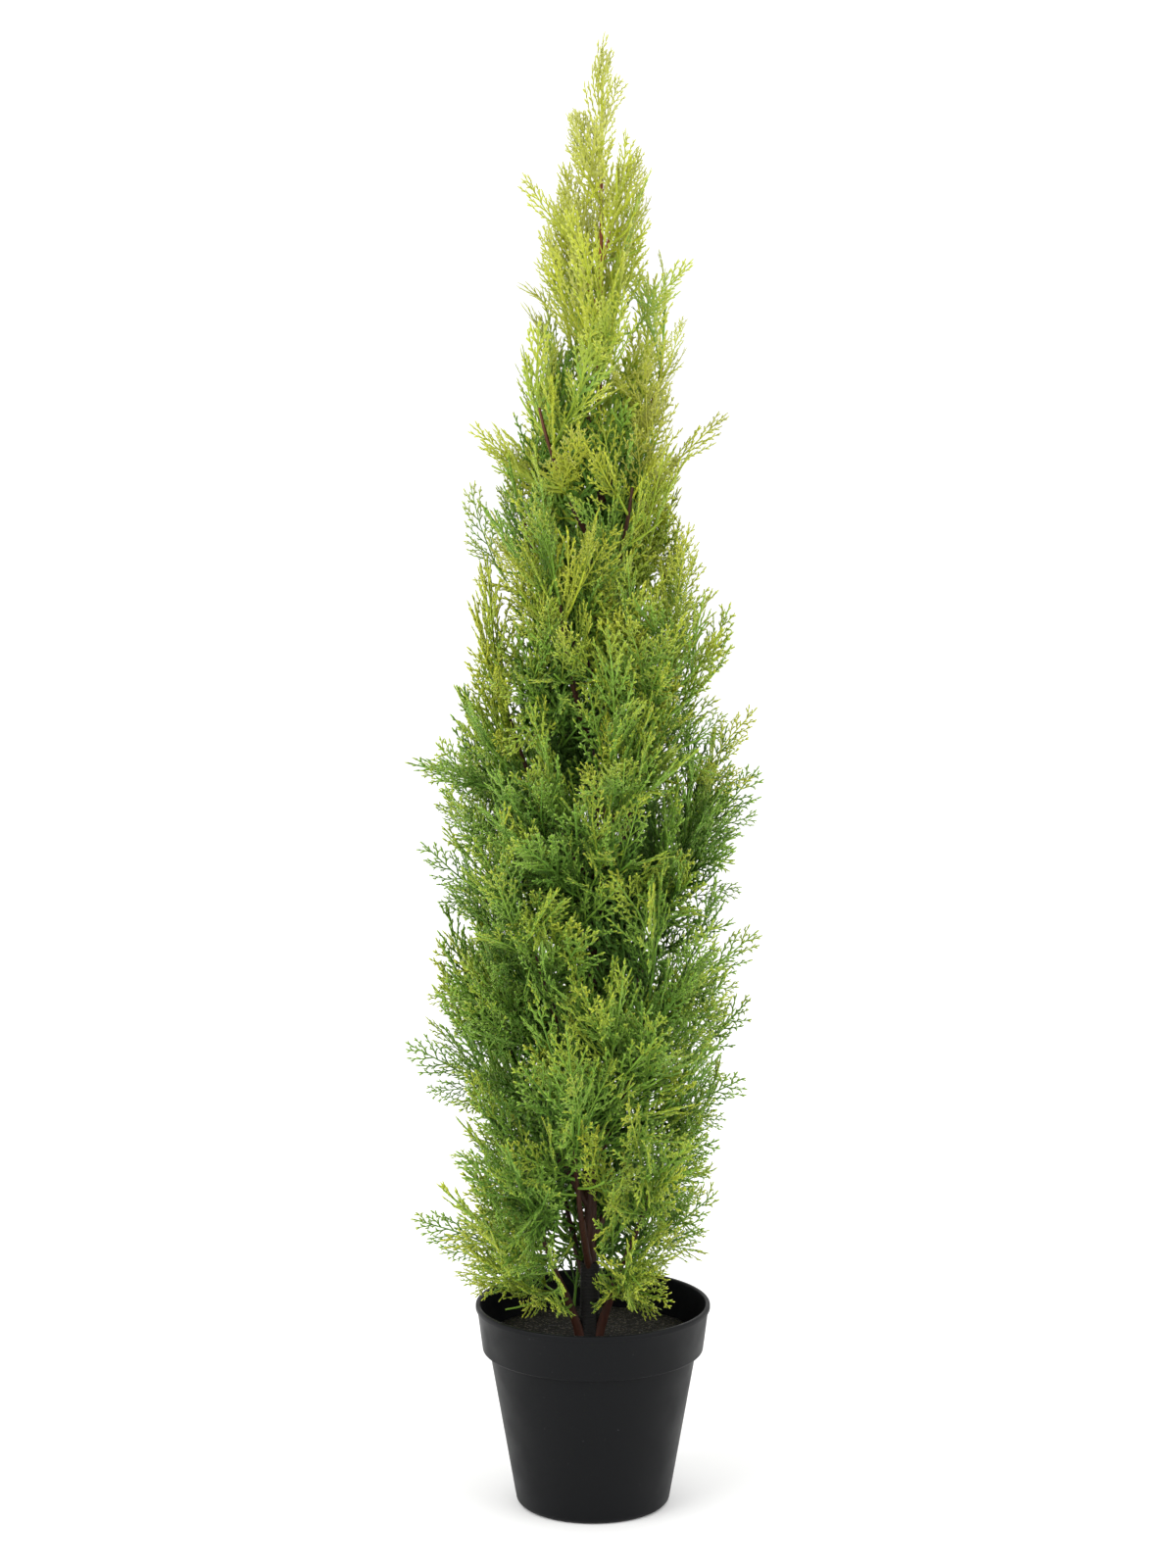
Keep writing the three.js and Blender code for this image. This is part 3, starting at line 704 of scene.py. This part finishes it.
def outline_radius(height, reach):
    """How far the foliage may stand out at a height: the crown's radius, slimmer away from its waist."""
    rise = np.clip((height - CROWN_WAIST) / (HEIGHT - CROWN_WAIST), 0, 1)
    drop = np.clip((LOWER_SLIM_TOP - height) / LOWER_SLIM_DEPTH, 0, 1)
    slim = UPPER_SLIM * np.minimum(1, UPPER_SLIM_RATE * rise) * (1 - rise ** 3)
    slim = slim + LOWER_SLIM * drop + NECK_SLIM * nearness(height, NECK_HEIGHT, NECK_SPREAD)
    slim = slim - WAIST_FULLNESS * nearness(height, WAIST_HEIGHT, WAIST_SPREAD)
    slim = slim + SPIRE_SLIM * nearness(height, SPIRE_HEIGHT, SPIRE_SPREAD)
    radius = reach * (1 - slim) * crown_radius(height) + lerp(TIP_MARGIN, TOP_MARGIN, rise ** 2)
    return np.minimum(radius, OUTERMOST)


def inside_crown(points, reach):
    """Whether points all clear the pot and stay in the crown, which leans left at skirt and neck."""
    points = np.array(points)
    height = points[:, 2]
    low = np.clip((CROWN_WAIST - height) / (CROWN_WAIST - CROWN_SKIRT), 0, 1)
    across, back = trunk_shift(height)
    lean = SKIRT_LEAN * low + NECK_LEAN * nearness(height, NECK_HEIGHT, NECK_SPREAD)
    radius = np.hypot(points[:, 0] - across - lean, points[:, 1] - back)
    if np.any(height > HEIGHT) or np.any(radius > outline_radius(height, reach)):
        return False
    over_mouth = np.hypot(points[:, 0], points[:, 1]) < MOUTH_RADIUS
    lowest = np.where(over_mouth, POT_HEIGHT - MOUTH_DROP, POT_HEIGHT + RIM_CLEARANCE)
    return bool(np.all(height > lowest))


def hides_trunk(points):
    """Whether points cover the stretch of trunk, or the feet of the cast boughs, that show in front."""
    beside = points[:, 0] - TRUNK_FOOT_X
    seen_at = points[:, 2] + SIGHT_SLOPE * points[:, 1]
    on_trunk = (beside > TRUNK_WINDOW[0]) & (beside < TRUNK_WINDOW[1])
    on_trunk &= (seen_at > TRUNK_WINDOW_FOOT) & (seen_at < TRUNK_WINDOW_TOP)
    on_feet = (np.abs(beside) < FEET_WINDOW) & (seen_at < FEET_WINDOW_TOP)
    return bool(np.any((points[:, 1] < 0) & (on_trunk | on_feet)))


def grow_twig(foot, axis, length, reach):
    """The longest twig from a foot that keeps to the crown, or none."""
    rising = (axis + UP * TWIG_LIFT).normalized()
    for share in TWIG_TRIES:
        line = bent_line(foot, axis, rising, length * share, TWIG_STEPS)
        if inside_crown(line, TWIG_REACH * reach):
            return line
    return None


def twigs_of(order, spot):
    """The twigs of one mass, each as a line and how far its sprays may reach."""
    draw = random.Random(FOLIAGE_SEED + order)
    size = spot["size"]
    outward = direction(spot["turn"], math.pi / 2)
    count = TWIGS if order < BOUGHS else TOP_TWIGS
    if spot["leader"]:
        count = LEADER_TWIGS
    usual = TWIG_LENGTH * size * (LEADER_TWIG_SHARE if spot["leader"] else 1)
    usual_reach = LOW_CROWN_REACH if order < LOW_MASSES else CROWN_REACH
    twigs = []
    for k in range(count):
        along = lerp(*TWIG_FEET, k / (count - 1))
        foot, heading = on_line(spot["stem"], along)
        fan = TWIG_FAN * golden_fan(k, draw)
        skirt = SKIRT_TURN * (1 - along) if order < SKIRT_MASSES else 0
        last = k == count - 1
        turn = lerp(TWIG_WIDE_TURN, TWIG_TIP_TURN, along) * (LAST_TWIG_TURN if last else 1) + skirt
        axis = heading if last and spot["leader"] else branching(heading, outward, turn, fan)
        stray = draw.random() < STRAY_SHARE
        reach = draw.uniform(*(STRAY_REACH if stray else usual_reach))
        twigs.append((grow_twig(foot, axis, usual * (STRAY_LENGTH if stray else 1), reach), reach))
    count = SKIRT_BOUGH_TWIGS if order < SKIRT_MASSES else BOUGH_TWIGS
    for k in range(count if order < BOUGHS else 0):
        foot, heading = on_line(spot["bough"], lerp(*BOUGH_TWIG_FEET, k / (count - 1)))
        fan = math.pi * golden_fan(k, draw)
        axis = branching(heading, outward, TWIG_WIDE_TURN, fan)
        reach = draw.uniform(*usual_reach)
        twigs.append((grow_twig(foot, axis, BOUGH_TWIG_SHARE * usual, reach), reach))
    # the two cast boughs also send twigs forward, whose sprays hang over the pot's mouth
    for k in range(MOUTH_TWIGS if order < CAST_BOUGHS else 0):
        share = k / (MOUTH_TWIGS - 1)
        foot = on_line(spot["bough"], lerp(*MOUTH_TWIG_FEET, share))[0]
        axis = (FRONT + outward * lerp(*MOUTH_TWIG_SPREAD, share)).normalized()
        reach = draw.uniform(*usual_reach)
        twigs.append((grow_twig(foot, axis, BOUGH_TWIG_SHARE * usual, reach), reach))
    return [(line, reach) for line, reach in twigs if line]


# A spray is given by shares of its length: a rib bears side ribs on alternate sides, and those bear short
# stubby needles and forked twiglets. Low down and round the waist the sprays are usual ones, near the top
# they are slimmer, and deep inside they are lean.
SPRAY_LENGTH = 78 * MM
SPRAY_PATTERNS = 14
TOP_PATTERNS = 6
LEAN_PATTERNS = 5
SPRAYS_PER_TWIG = 5
TOP_SPRAYS_PER_TWIG = 3
LEADER_SPRAYS_PER_TWIG = 2
SPRAY_FEET = (0.12, 1)
SPRAY_TURN = (20, 46)
LAST_SPRAY_TURN = 8
SPRAY_LIFT = (0.35, 0.9)
SPRAY_TWIST = math.radians(68)
LEADER_TWIST = 0.5
TOP_TWIST = 1.3
SPRAY_BENDS = ((-0.14, 0.14), (-0.1, 0.2), (-0.2, 0.25))
SPRAY_WIDTHS = (0.85, 1.1)
SPRAY_LENGTHS = (0.75, 1.2)
LEAST_SPRAY = 0.75
SPRAY_TRIES = (1, 0.86, 0.74, 0.62)
TOP_SPRAY_WIDTH = 0.85
RIB_RADIUS = 0.0125
SIDE_RIB_RADIUS = 0.0098
NEEDLE_RADIUS = 0.0132
NEEDLE_END = 0.0085
NEEDLE_LENGTH = 0.048
NEEDLE_LENGTHS = (0.7, 1.2)
NEEDLE_TURN = math.radians(36)
UNEVEN_TURNS = (0.8, 1.2)
RIB_TAPER = (1, 0.9, 0.7)
RIB_SWAY = 0.12
BARE_RIB = 0.72
SIDE_RIB_FEET = (0.05, 0.84)
SIDE_RIB_SHIFT = 0.025
SIDE_RIB_LENGTH = 0.44
LEAST_SIDE_RIB = 0.1
BARE_SIDE_RIB = 0.22
SIDE_SWEEP = 0.66
TWIGLET_TURN = math.radians(34)
TWIGLET_SPACINGS = (0.75, 1.25)
LONGEST_TWIGLET = 0.5
FORKED_LENGTH = 0.072
FORKS = ((1, 0.3), (-1, 0.5))
FORK_SHIFT = 0.15
OUT_OF_PLANE = 0.14
SIDEWAYS_OUTNESS = 1.6
USUAL_SPRAY = {
    "ribs": 10, "turn": 37, "rib_girth": 1.1, "needle_girth": 1, "depth": 0.85,
    "spacing": 0.058, "twiglets": (0.125, 0.055), "forked": True,
}
TOP_SPRAY = {
    "ribs": 10, "turn": 31, "rib_girth": 1.5, "needle_girth": 1.15, "depth": 0.4,
    "spacing": 0.052, "twiglets": (0.085, 0.06), "forked": False,
}
LEAN_SPRAY = {
    "ribs": 8, "turn": 37, "rib_girth": 1.3, "needle_girth": 1.7, "depth": 1,
    "spacing": 0.099, "twiglets": (0.125, 0.055), "forked": False,
}
TOP_SPRAYS_ABOVE = 0.6
SPRAY_MIDDLE = 0.6
INNER_DEPTH = 0.5
INNER_BELOW = 0.75
# how many greens deeper the sprays deep inside the crown are painted, as painted shade
INNER_PAINTED_SHADE = 1.7
SPRAY_MIXING = 0.3
RING_HALF_WIDTH = 0.87
RING_LOW = 0.5
POINTED = np.array(((0, 1, 3), (1, 2, 3), (2, 0, 3), (0, 2, 1)))
CHISEL = np.array(((0, 1, 3), (0, 3, 4), (0, 4, 2), (1, 2, 4), (1, 4, 3), (0, 2, 1)))
WALLS = np.array(((0, 1, 4), (0, 4, 3), (1, 2, 5), (1, 5, 4), (2, 0, 3), (2, 3, 5)))
BENT_RIB = np.concatenate((WALLS, WALLS + 3, ((0, 2, 1), (6, 7, 8))))


def three_corners(heading, depth):
    """The corners of a three-sided ring round a heading, and the way across it in the spray's plane."""
    across = unit(np.cross((0, 0, 1), heading))
    over = depth * np.cross(heading, across)
    left = -RING_HALF_WIDTH * across - RING_LOW * over
    right = RING_HALF_WIDTH * across - RING_LOW * over
    return np.array((over, left, right)), across


def needle_shape(foot, tip, girth, depth, pointed):
    """Corners and triangles of a closed needle that ends in a point or a blunt edge."""
    ring, across = three_corners(unit(tip - foot), depth)
    blunt = NEEDLE_END * girth * across
    ending = [tip] if pointed else [tip - blunt, tip + blunt]
    return np.concatenate((foot + NEEDLE_RADIUS * girth * ring, ending)), POINTED if pointed else CHISEL


def rib_shape(foot, middle, end, radius, depth):
    """Corners and triangles of a closed three-sided rib that bends once and thins towards its end."""
    low, high = unit(middle - foot), unit(end - middle)
    rings = []
    for spot, heading, share in zip((foot, middle, end), (low, unit(low + high), high), RIB_TAPER):
        rings.append(spot + radius * share * three_corners(heading, depth)[0])
    return np.concatenate(rings), BENT_RIB


def spray_pattern(draw, ribs, turn, rib_girth, needle_girth, depth, spacing, twiglets, forked):
    """One spray of length 1 along +X, with so many side ribs that turn off by about so many degrees.

    It comes as corners, triangles and how far out in the spray each triangle is, from 0 to 1.
    """
    side_turn = math.radians(turn)
    longest, shortest = twiglets
    parts = []

    def ahead(foot, turn, tilt, length):
        """A point so far from a foot, turned in the spray's plane and tilted out of it."""
        flat = length * math.cos(tilt)
        return foot + np.array((flat * math.cos(turn), flat * math.sin(turn), length * math.sin(tilt)))

    def needle(foot, turn, tilt, length, pointed):
        """Adds a needle, and gives its tip."""
        tip = ahead(foot, turn, tilt + draw.gauss(0, OUT_OF_PLANE), length)
        parts.append((*needle_shape(foot, tip, needle_girth, depth, pointed), tip))
        return tip

    def twiglet(foot, turn, tilt, length):
        """Adds a needle that bears two more if it is long enough to fork."""
        parted = forked and length > FORKED_LENGTH
        tip = needle(foot, turn, tilt, length, parted)
        if not parted:
            return
        for side, low in FORKS:
            spot = foot + (tip - foot) * (low + draw.uniform(0, FORK_SHIFT))
            own_turn = turn + side * NEEDLE_TURN * draw.uniform(*UNEVEN_TURNS)
            needle(spot, own_turn, tilt, NEEDLE_LENGTH * draw.uniform(*NEEDLE_LENGTHS), True)

    def on_rib(ends, share):
        """A point part of the way along a rib."""
        foot, middle, end = ends
        if share < 0.5:
            return foot + (middle - foot) * share * 2
        return middle + (end - middle) * (share * 2 - 1)

    def rib(foot, turn, tilt, length, radius, first):
        """Adds a rib with twiglets from so far along it, and gives its foot, middle and end."""
        radius *= rib_girth
        middle = ahead(foot, turn, tilt, length / 2)
        end = ahead(middle, turn * SIDE_SWEEP + draw.uniform(-RIB_SWAY, RIB_SWAY), tilt, length / 2)
        ends = (foot, middle, end)
        parts.append((*rib_shape(foot, middle, end, radius, depth), middle))
        side = draw.choice((1, -1))
        along = first
        while along < length:
            share = along / length
            swept = turn * lerp(1, SIDE_SWEEP, share)
            own_turn = swept + side * TWIGLET_TURN * draw.uniform(*UNEVEN_TURNS)
            own_length = lerp(longest, shortest, share) * draw.uniform(*NEEDLE_LENGTHS)
            twiglet(on_rib(ends, share), own_turn, tilt, min(own_length, LONGEST_TWIGLET * length))
            side = -side
            along += spacing * draw.uniform(*TWIGLET_SPACINGS)
        twiglet(end, turn * SIDE_SWEEP, tilt, shortest)
        return ends

    main_rib = rib(np.zeros(3), 0, 0, 1, RIB_RADIUS, BARE_RIB)
    side = draw.choice((1, -1))
    for i in range(ribs):
        along = lerp(*SIDE_RIB_FEET, i / (ribs - 1)) + draw.uniform(-SIDE_RIB_SHIFT, SIDE_RIB_SHIFT)
        length = (SIDE_RIB_LENGTH * (1 - along) + LEAST_SIDE_RIB) * draw.uniform(*SPRAY_LENGTHS)
        own_turn = side * side_turn * draw.uniform(*UNEVEN_TURNS)
        tilt = draw.gauss(0, OUT_OF_PLANE)
        rib(on_rib(main_rib, along), own_turn, tilt, length, SIDE_RIB_RADIUS, BARE_SIDE_RIB * length)
        side = -side
    outness = [min(1, math.hypot(end[0], SIDEWAYS_OUTNESS * end[1])) for *_, end in parts]
    return *merged(parts), np.repeat(outness, [len(part[1]) for part in parts])


def laid_spray(pattern, foot, axis, across, length, width, bends):
    """A pattern's corners at their place, narrowed, swayed, curled along its rib and cupped across it."""
    sway, curl, cup = bends
    corners = pattern * (1, width, 1)
    corners[:, 2] += curl * corners[:, 0] ** 2 + cup * corners[:, 1] ** 2
    corners[:, 1] += sway * corners[:, 0] ** 2
    basis = np.array((axis, across, axis.cross(across)))
    return np.array(foot) + length * corners @ basis


def sprays_on(line, reach, order, spot, shade, draw):
    """The sprays of one twig, each as corners, triangles and the numbers of their greens."""
    sprays = []
    count = SPRAYS_PER_TWIG if order < BOUGHS else TOP_SPRAYS_PER_TWIG
    if spot["leader"]:
        count = LEADER_SPRAYS_PER_TWIG
    for k in range(count):
        last = k == count - 1
        foot, heading = on_line(line, lerp(*SPRAY_FEET, k / (count - 1)))
        middle = trunk_at(foot.z)
        outward = Vector((foot.x - middle.x, foot.y - middle.y, 0)).normalized()
        rise = paling(foot.z)
        fan = math.pi * golden_fan(k, draw)
        turn = math.radians(LAST_SPRAY_TURN if last else draw.uniform(*SPRAY_TURN))
        lift = draw.uniform(*SKIRT_LIFT) if order < SKIRT_MASSES else lerp(*SPRAY_LIFT, rise)
        axis = (branching(heading, outward, turn, fan) + UP * lift).normalized()
        most_twist = SPRAY_TWIST * (LEADER_TWIST if spot["leader"] else lerp(1, TOP_TWIST, rise))
        twist = most_twist * draw.uniform(-1, 1) + draw.choice((0, math.pi))
        flat = FRONT if spot["leader"] else outward
        across = Matrix.Rotation(twist, 3, axis) @ flat.cross(axis).normalized()
        bends = [draw.uniform(*ends) for ends in SPRAY_BENDS]
        width = lerp(1, TOP_SPRAY_WIDTH, rise) * draw.uniform(*SPRAY_WIDTHS)
        usual = SPRAY_LENGTH * lerp(LEAST_SPRAY, 1, spot["size"]) * draw.uniform(*SPRAY_LENGTHS)
        far = foot + axis * usual * SPRAY_MIDDLE
        depth = (far - middle).xy.length / float(outline_radius(far.z, 1))
        inner = depth < INNER_DEPTH and rise < INNER_BELOW
        usual_patterns = top_patterns if rise > TOP_SPRAYS_ABOVE else patterns
        pattern, triangles, outness = draw.choice(lean_patterns if inner else usual_patterns)
        # painted shade: sprays deep inside the crown are painted a deeper green, for the shade inside it
        own_shade = shade + draw.gauss(0, SPRAY_MIXING) + INNER_PAINTED_SHADE * inner
        for share in SPRAY_TRIES:
            corners = laid_spray(pattern, foot, axis, across, usual * share, width, bends)
            if inside_crown(corners, reach) and not hides_trunk(corners):
                sprays.append((corners, triangles, spray_greens(own_shade, outness)))
                break
    return sprays


# Moulded green polyethylene: soft, waxy and a little uneven, in the shades that the maker mixes from tip
# to foot. Light breaks softly on it, with no hard shine, and sinks in further the paler it is.
GREENS = [
    ("palest lime", "#abb042", 0.5), ("lime", "#b3bc32", 0.5), ("yellow green", "#aebb36", 0.5),
    ("fresh green", "#9ab136", 0.45), ("leaf green", "#80a73a", 0.4), ("deep green", "#658f31", 0.3),
    ("inner green", "#4b7028", 0.3),
]
DARKER_PATCHES = 0.75
PALING_FOOT = 540 * MM
PALE_ABOVE = 1104 * MM
LOW_SHADE = 4.2
TOP_SHADE = 0.3
PALEST_LOW = 3.1
DEEPEST = 5
PALING_BEND = 1.5
PALEST_LOW_END = 0.3
PALE_ENDS_AND_PAINTED_HEART_SHADE = 3
PALE_FROM = 0.6
SKIRT_PAINTED_LIGHT = 1.1
PALE_SKIRT_TOP = 280 * MM
MASS_MIXING = 0.4
LEAST_MIXING = 0.6
SKIRT_MIXING = 0.4
spray_plastics = []
for name, colour, softness in GREENS:
    plastic, shader, place = new_material(f"moulded polyethylene, {name}")
    uneven = add_node(plastic, "TexNoise", {"Scale": per_mm(9), "Detail": 2}, {"Vector": place})
    darker = [channel * DARKER_PATCHES for channel in linear(colour)[:3]] + [1.0]
    mixed = add_node(plastic, "MixRGB", {"Color1": linear(colour), "Color2": darker}, {"Fac": uneven})
    set_node(plastic, shader, {
        "Roughness": 0.55, "Specular IOR Level": 0.22, "Subsurface Weight": softness,
        "Subsurface Radius": (1, 1, 0.6), "Subsurface Scale": 2.4 * MM,
    }, {"Base Color": mixed})
    spray_plastics.append(plastic)


def paling(height):
    """How far the foliage has paled at a height, from 0 in the lower crown to 1 near the top."""
    return min(1, max(0, (height - PALING_FOOT) / (PALE_ABOVE - PALING_FOOT)))


def twig_shade(height, mass_shade, draw):
    """A twig's place among the greens: deeper low down, most mixed halfway up, painted light at the
    skirt.
    """
    rise = paling(height)
    skirt = min(1, max(0, (PALE_SKIRT_TOP - height) / (PALE_SKIRT_TOP - POT_HEIGHT)))
    mixed = lerp(LEAST_MIXING, 1, 4 * rise * (1 - rise)) * lerp(1, SKIRT_MIXING, skirt)
    shade = lerp(LOW_SHADE, TOP_SHADE, rise ** PALING_BEND) + (mass_shade + draw.gauss(0, 1)) * mixed
    palest = lerp(PALEST_LOW, 0, min(1, rise / PALEST_LOW_END))
    # painted light: the lowest sprays, just above the pot, are painted paler, for the light that reaches
    # them
    return min(DEEPEST, max(shade, palest)) - SKIRT_PAINTED_LIGHT * skirt


def green_number(shade):
    """The number of the green nearest to a shade, or to each of many."""
    return np.rint(np.clip(shade, 0, len(GREENS) - 1)).astype(int)


def spray_greens(shade, outness):
    """The numbers of a spray's greens: paler at its ends, and deeper at its heart, partly as painted
    shade.
    """
    # the paler ends are the sprays' own colour, and the deeper heart is partly painted shade where
    # needles crowd
    return green_number(shade + PALE_ENDS_AND_PAINTED_HEART_SHADE * (PALE_FROM - outness))


def twig_part(line, shade, draw):
    """A twig's corners and triangles, and the number of its green."""
    radii = np.linspace(TWIG_FOOT_RADIUS, TWIG_TIP_RADIUS, TWIG_STEPS + 1)
    return *tube(line, radii, TWIG_SIDES, TWIG_BARK, draw), green_number(shade + TWIG_DEEPER)


pattern_draw = random.Random(PATTERN_SEED)
patterns = [spray_pattern(pattern_draw, **USUAL_SPRAY) for _ in range(SPRAY_PATTERNS)]
top_patterns = [spray_pattern(pattern_draw, **TOP_SPRAY) for _ in range(TOP_PATTERNS)]
lean_patterns = [spray_pattern(pattern_draw, **LEAN_SPRAY) for _ in range(LEAN_PATTERNS)]
stem_number = len(GREENS)
twig_parts = []
sprays_of = []
for order, spot in enumerate(places):
    draw = random.Random(SPRAYS_SEED + order)
    stem = spot["stem"]
    radii = np.linspace(STEM_FOOT_RADIUS * spot["size"], STEM_TIP_RADIUS * spot["size"], len(stem))
    stem_shade = LEADER_GREEN if spot["leader"] else stem_number
    twig_parts.append((*tube(stem, radii, STEM_SIDES, STEM_BARK, draw), stem_shade))
    mass_shade = draw.gauss(0, MASS_MIXING)
    sprays = []
    for line, reach in twigs_of(order, spot):
        shade = twig_shade(line[-1].z, mass_shade, draw)
        own = sprays_on(line, reach, order, spot, shade, draw)
        if not own:
            continue
        twig = twig_part(line, shade, draw)
        if not hides_trunk(np.array(line)):
            twig_parts.append(twig)
            sprays += own
    sprays_of.append(sprays)

# A few sprays stand well out at the sides, on twigs of their own from the nearest stem. For each: how far
# across and how high its tip is in millimetres, and how many degrees it leans from upright. It has one or
# two side sprays: how far along the twig they leave, their share of its length, and their turn in or out.
OUTLYING_SPRAYS = [
    (-60, 1088, 42), (62, 1034, 24), (-88, 902, 38), (103, 908, 42), (137, 616, 44), (130, 484, 46),
    (-149, 392, 58), (-143, 249, 64), (-95, 850, 14), (120, 676, 26), (-134, 562, 42), (-131, 476, 36),
    (118, 374, 48), (102, 262, 52),
]
OUTLYING_LENGTH = 64 * MM
OUTLYING_SIDES = ((0.6, 0.75, 0.4), (0.75, 0.75, -0.45))
OUTLYING_END = (1, 1, 0)
OUTLYING_WIDTH = 0.65
OUTLYING_SLIM_ABOVE = 0.5
OUTLYING_STRAIGHT = 0.4
OUTLYING_TWIST = 0.5
draw = random.Random(OUTLYING_SEED)
for across_mm, height_mm, tilt in OUTLYING_SPRAYS:
    height = height_mm * MM
    heading = direction(0 if across_mm > 0 else math.pi, math.radians(tilt))
    rise = paling(height)
    end = Vector((across_mm * MM, 0, height)) - heading * OUTLYING_LENGTH
    stem_points = [
        ((point - end).length, order, k) for order, spot in enumerate(places)
        for k, point in enumerate(spot["stem"]) if point.z < end.z - TIP_MARGIN
    ]
    far, order, k = min(stem_points)
    line = curve(places[order]["stem"][k], end - heading * far * OUTLYING_STRAIGHT, end, TWIG_STEPS)
    shade = twig_shade(height, 0, draw)
    twig_parts.append(twig_part(line, shade, draw))
    width = lerp(1, OUTLYING_WIDTH, min(1, rise / TOP_SPRAYS_ABOVE))
    sides = OUTLYING_SIDES[:1] if rise > OUTLYING_SLIM_ABOVE else OUTLYING_SIDES
    for along, share, fan in (*sides, OUTLYING_END):
        foot, leaving = on_line(line, along)
        axis = Matrix.Rotation(math.copysign(1, across_mm) * fan, 3, FRONT) @ leaving
        twist = draw.uniform(-OUTLYING_TWIST, OUTLYING_TWIST)
        across = Matrix.Rotation(twist, 3, axis) @ FRONT.cross(axis).normalized()
        bends = [draw.uniform(*ends) for ends in SPRAY_BENDS]
        pattern, triangles, outness = draw.choice(top_patterns if rise > TOP_SPRAYS_ABOVE else patterns)
        corners = laid_spray(pattern, foot, axis, across, OUTLYING_LENGTH * share, width, bends)
        sprays_of[order].append((corners, triangles, spray_greens(shade, outness)))
twigs = joined("twigs", twig_parts, spray_plastics + [stem_plastic])
finish_piece(twigs, [spot["node"] for spot in places], LIMB_SMOOTH)

# the leader ends in one upright spray, the tree's tip
TIP_SPRAY = 88 * MM
TIP_SPARE = 5 * MM
TIP_RISE = 4 * MM
TIP_LEAN = 0.2
TIP_WIDTH = 0.45
TIP_BENDS = (0.24, 0.06, 0)
TIP_GREEN = 0
tip_pattern, tip_triangles = top_patterns[0][:2]
tip_foot = places[-1]["stem"][-1].copy()
tip_foot.z = HEIGHT + TIP_RISE - TIP_SPRAY
tip_axis = Vector((-TIP_LEAN, 0, 1)).normalized()
tip_across = Vector((1, 0, TIP_LEAN)).normalized()
tip_corners = laid_spray(
    tip_pattern, tip_foot, tip_axis, tip_across, TIP_SPRAY - TIP_SPARE, TIP_WIDTH, TIP_BENDS,
)
sprays_of[-1].append((tip_corners, tip_triangles, TIP_GREEN))

MASSES_IN_GROUP = 4
OLD_MASSES = 20
YOUNG_SMOOTH = 75
for low in range(0, len(places), MASSES_IN_GROUP):
    own = places[low:low + MASSES_IN_GROUP]
    parts = [spray for sprays in sprays_of[low:low + MASSES_IN_GROUP] for spray in sprays]
    group = joined(f"sprays_{low // MASSES_IN_GROUP + 1}", parts, spray_plastics)
    slot, smooth_angle = ("foliage", SMOOTH_ALL) if low < OLD_MASSES else ("young_foliage", YOUNG_SMOOTH)
    finish_piece(group, [spot["node"] for spot in own], smooth_angle)

# Stage: a wide sweep of white paper under an even white room, with a large soft lamp from the left and a
# weaker one from the right, as for a catalogue picture.
FLOOR_WIDTH = 60
ROOM_LIGHT = 1.2
LAMP_WIDTH = 2.6
bpy.ops.mesh.primitive_plane_add(size=FLOOR_WIDTH, location=(0, 0, 0))
floor = bpy.context.object
floor.name = "floor"
paper, shader, place = new_material("white paper sweep")
fibre = add_node(paper, "TexNoise", {"Scale": per_mm(400), "Detail": 2}, {"Vector": place})
sheet = add_node(
    paper, "MixRGB", {"Color1": linear("#f6f6f5"), "Color2": linear("#f1f1f0")}, {"Fac": fibre},
)
set_node(paper, shader, {"Roughness": 0.9, "Specular IOR Level": 0.1}, {"Base Color": sheet})
floor.data.materials.append(paper)

room = bpy.data.worlds.new("white room")
bpy.context.scene.world = room
room.use_nodes = True
set_node(room, room.node_tree.nodes["Background"], {"Color": (1, 1, 1, 1), "Strength": ROOM_LIGHT}, {})


def lamp(name, spot, power):
    """A square soft lamp that faces the middle of the tree."""
    bpy.ops.object.light_add(type="AREA", location=spot)
    light = bpy.context.object
    light.name = name
    light.data.energy = power
    light.data.size = LAMP_WIDTH
    light.rotation_euler = (Vector((0, 0, HEIGHT / 2)) - Vector(spot)).to_track_quat("-Z", "Y").to_euler()


lamp("left lamp", (-2.4, -1.9, 2.3), 65)
lamp("right lamp", (2.6, -1.6, 1.8), 40)

# Camera: level with the tree's tip and looking down a little, far enough off that the pot's sides hardly
# converge. The tree's axis stands a little right of the picture's middle.
CAMERA_SPOT = (0, -3.4, 1.204)
CAMERA_DROP = math.radians(9.98)
CAMERA_LENS = 97.9
CAMERA_SENSOR = 36
CAMERA_SHIFT = -5 / 1600
bpy.ops.object.camera_add(location=CAMERA_SPOT, rotation=(math.pi / 2 - CAMERA_DROP, 0, 0))
camera = bpy.context.object
camera.data.lens = CAMERA_LENS
camera.data.sensor_width = CAMERA_SENSOR
camera.data.shift_x = CAMERA_SHIFT
bpy.context.scene.camera = camera
bpy.context.scene.view_settings.view_transform = "Standard"
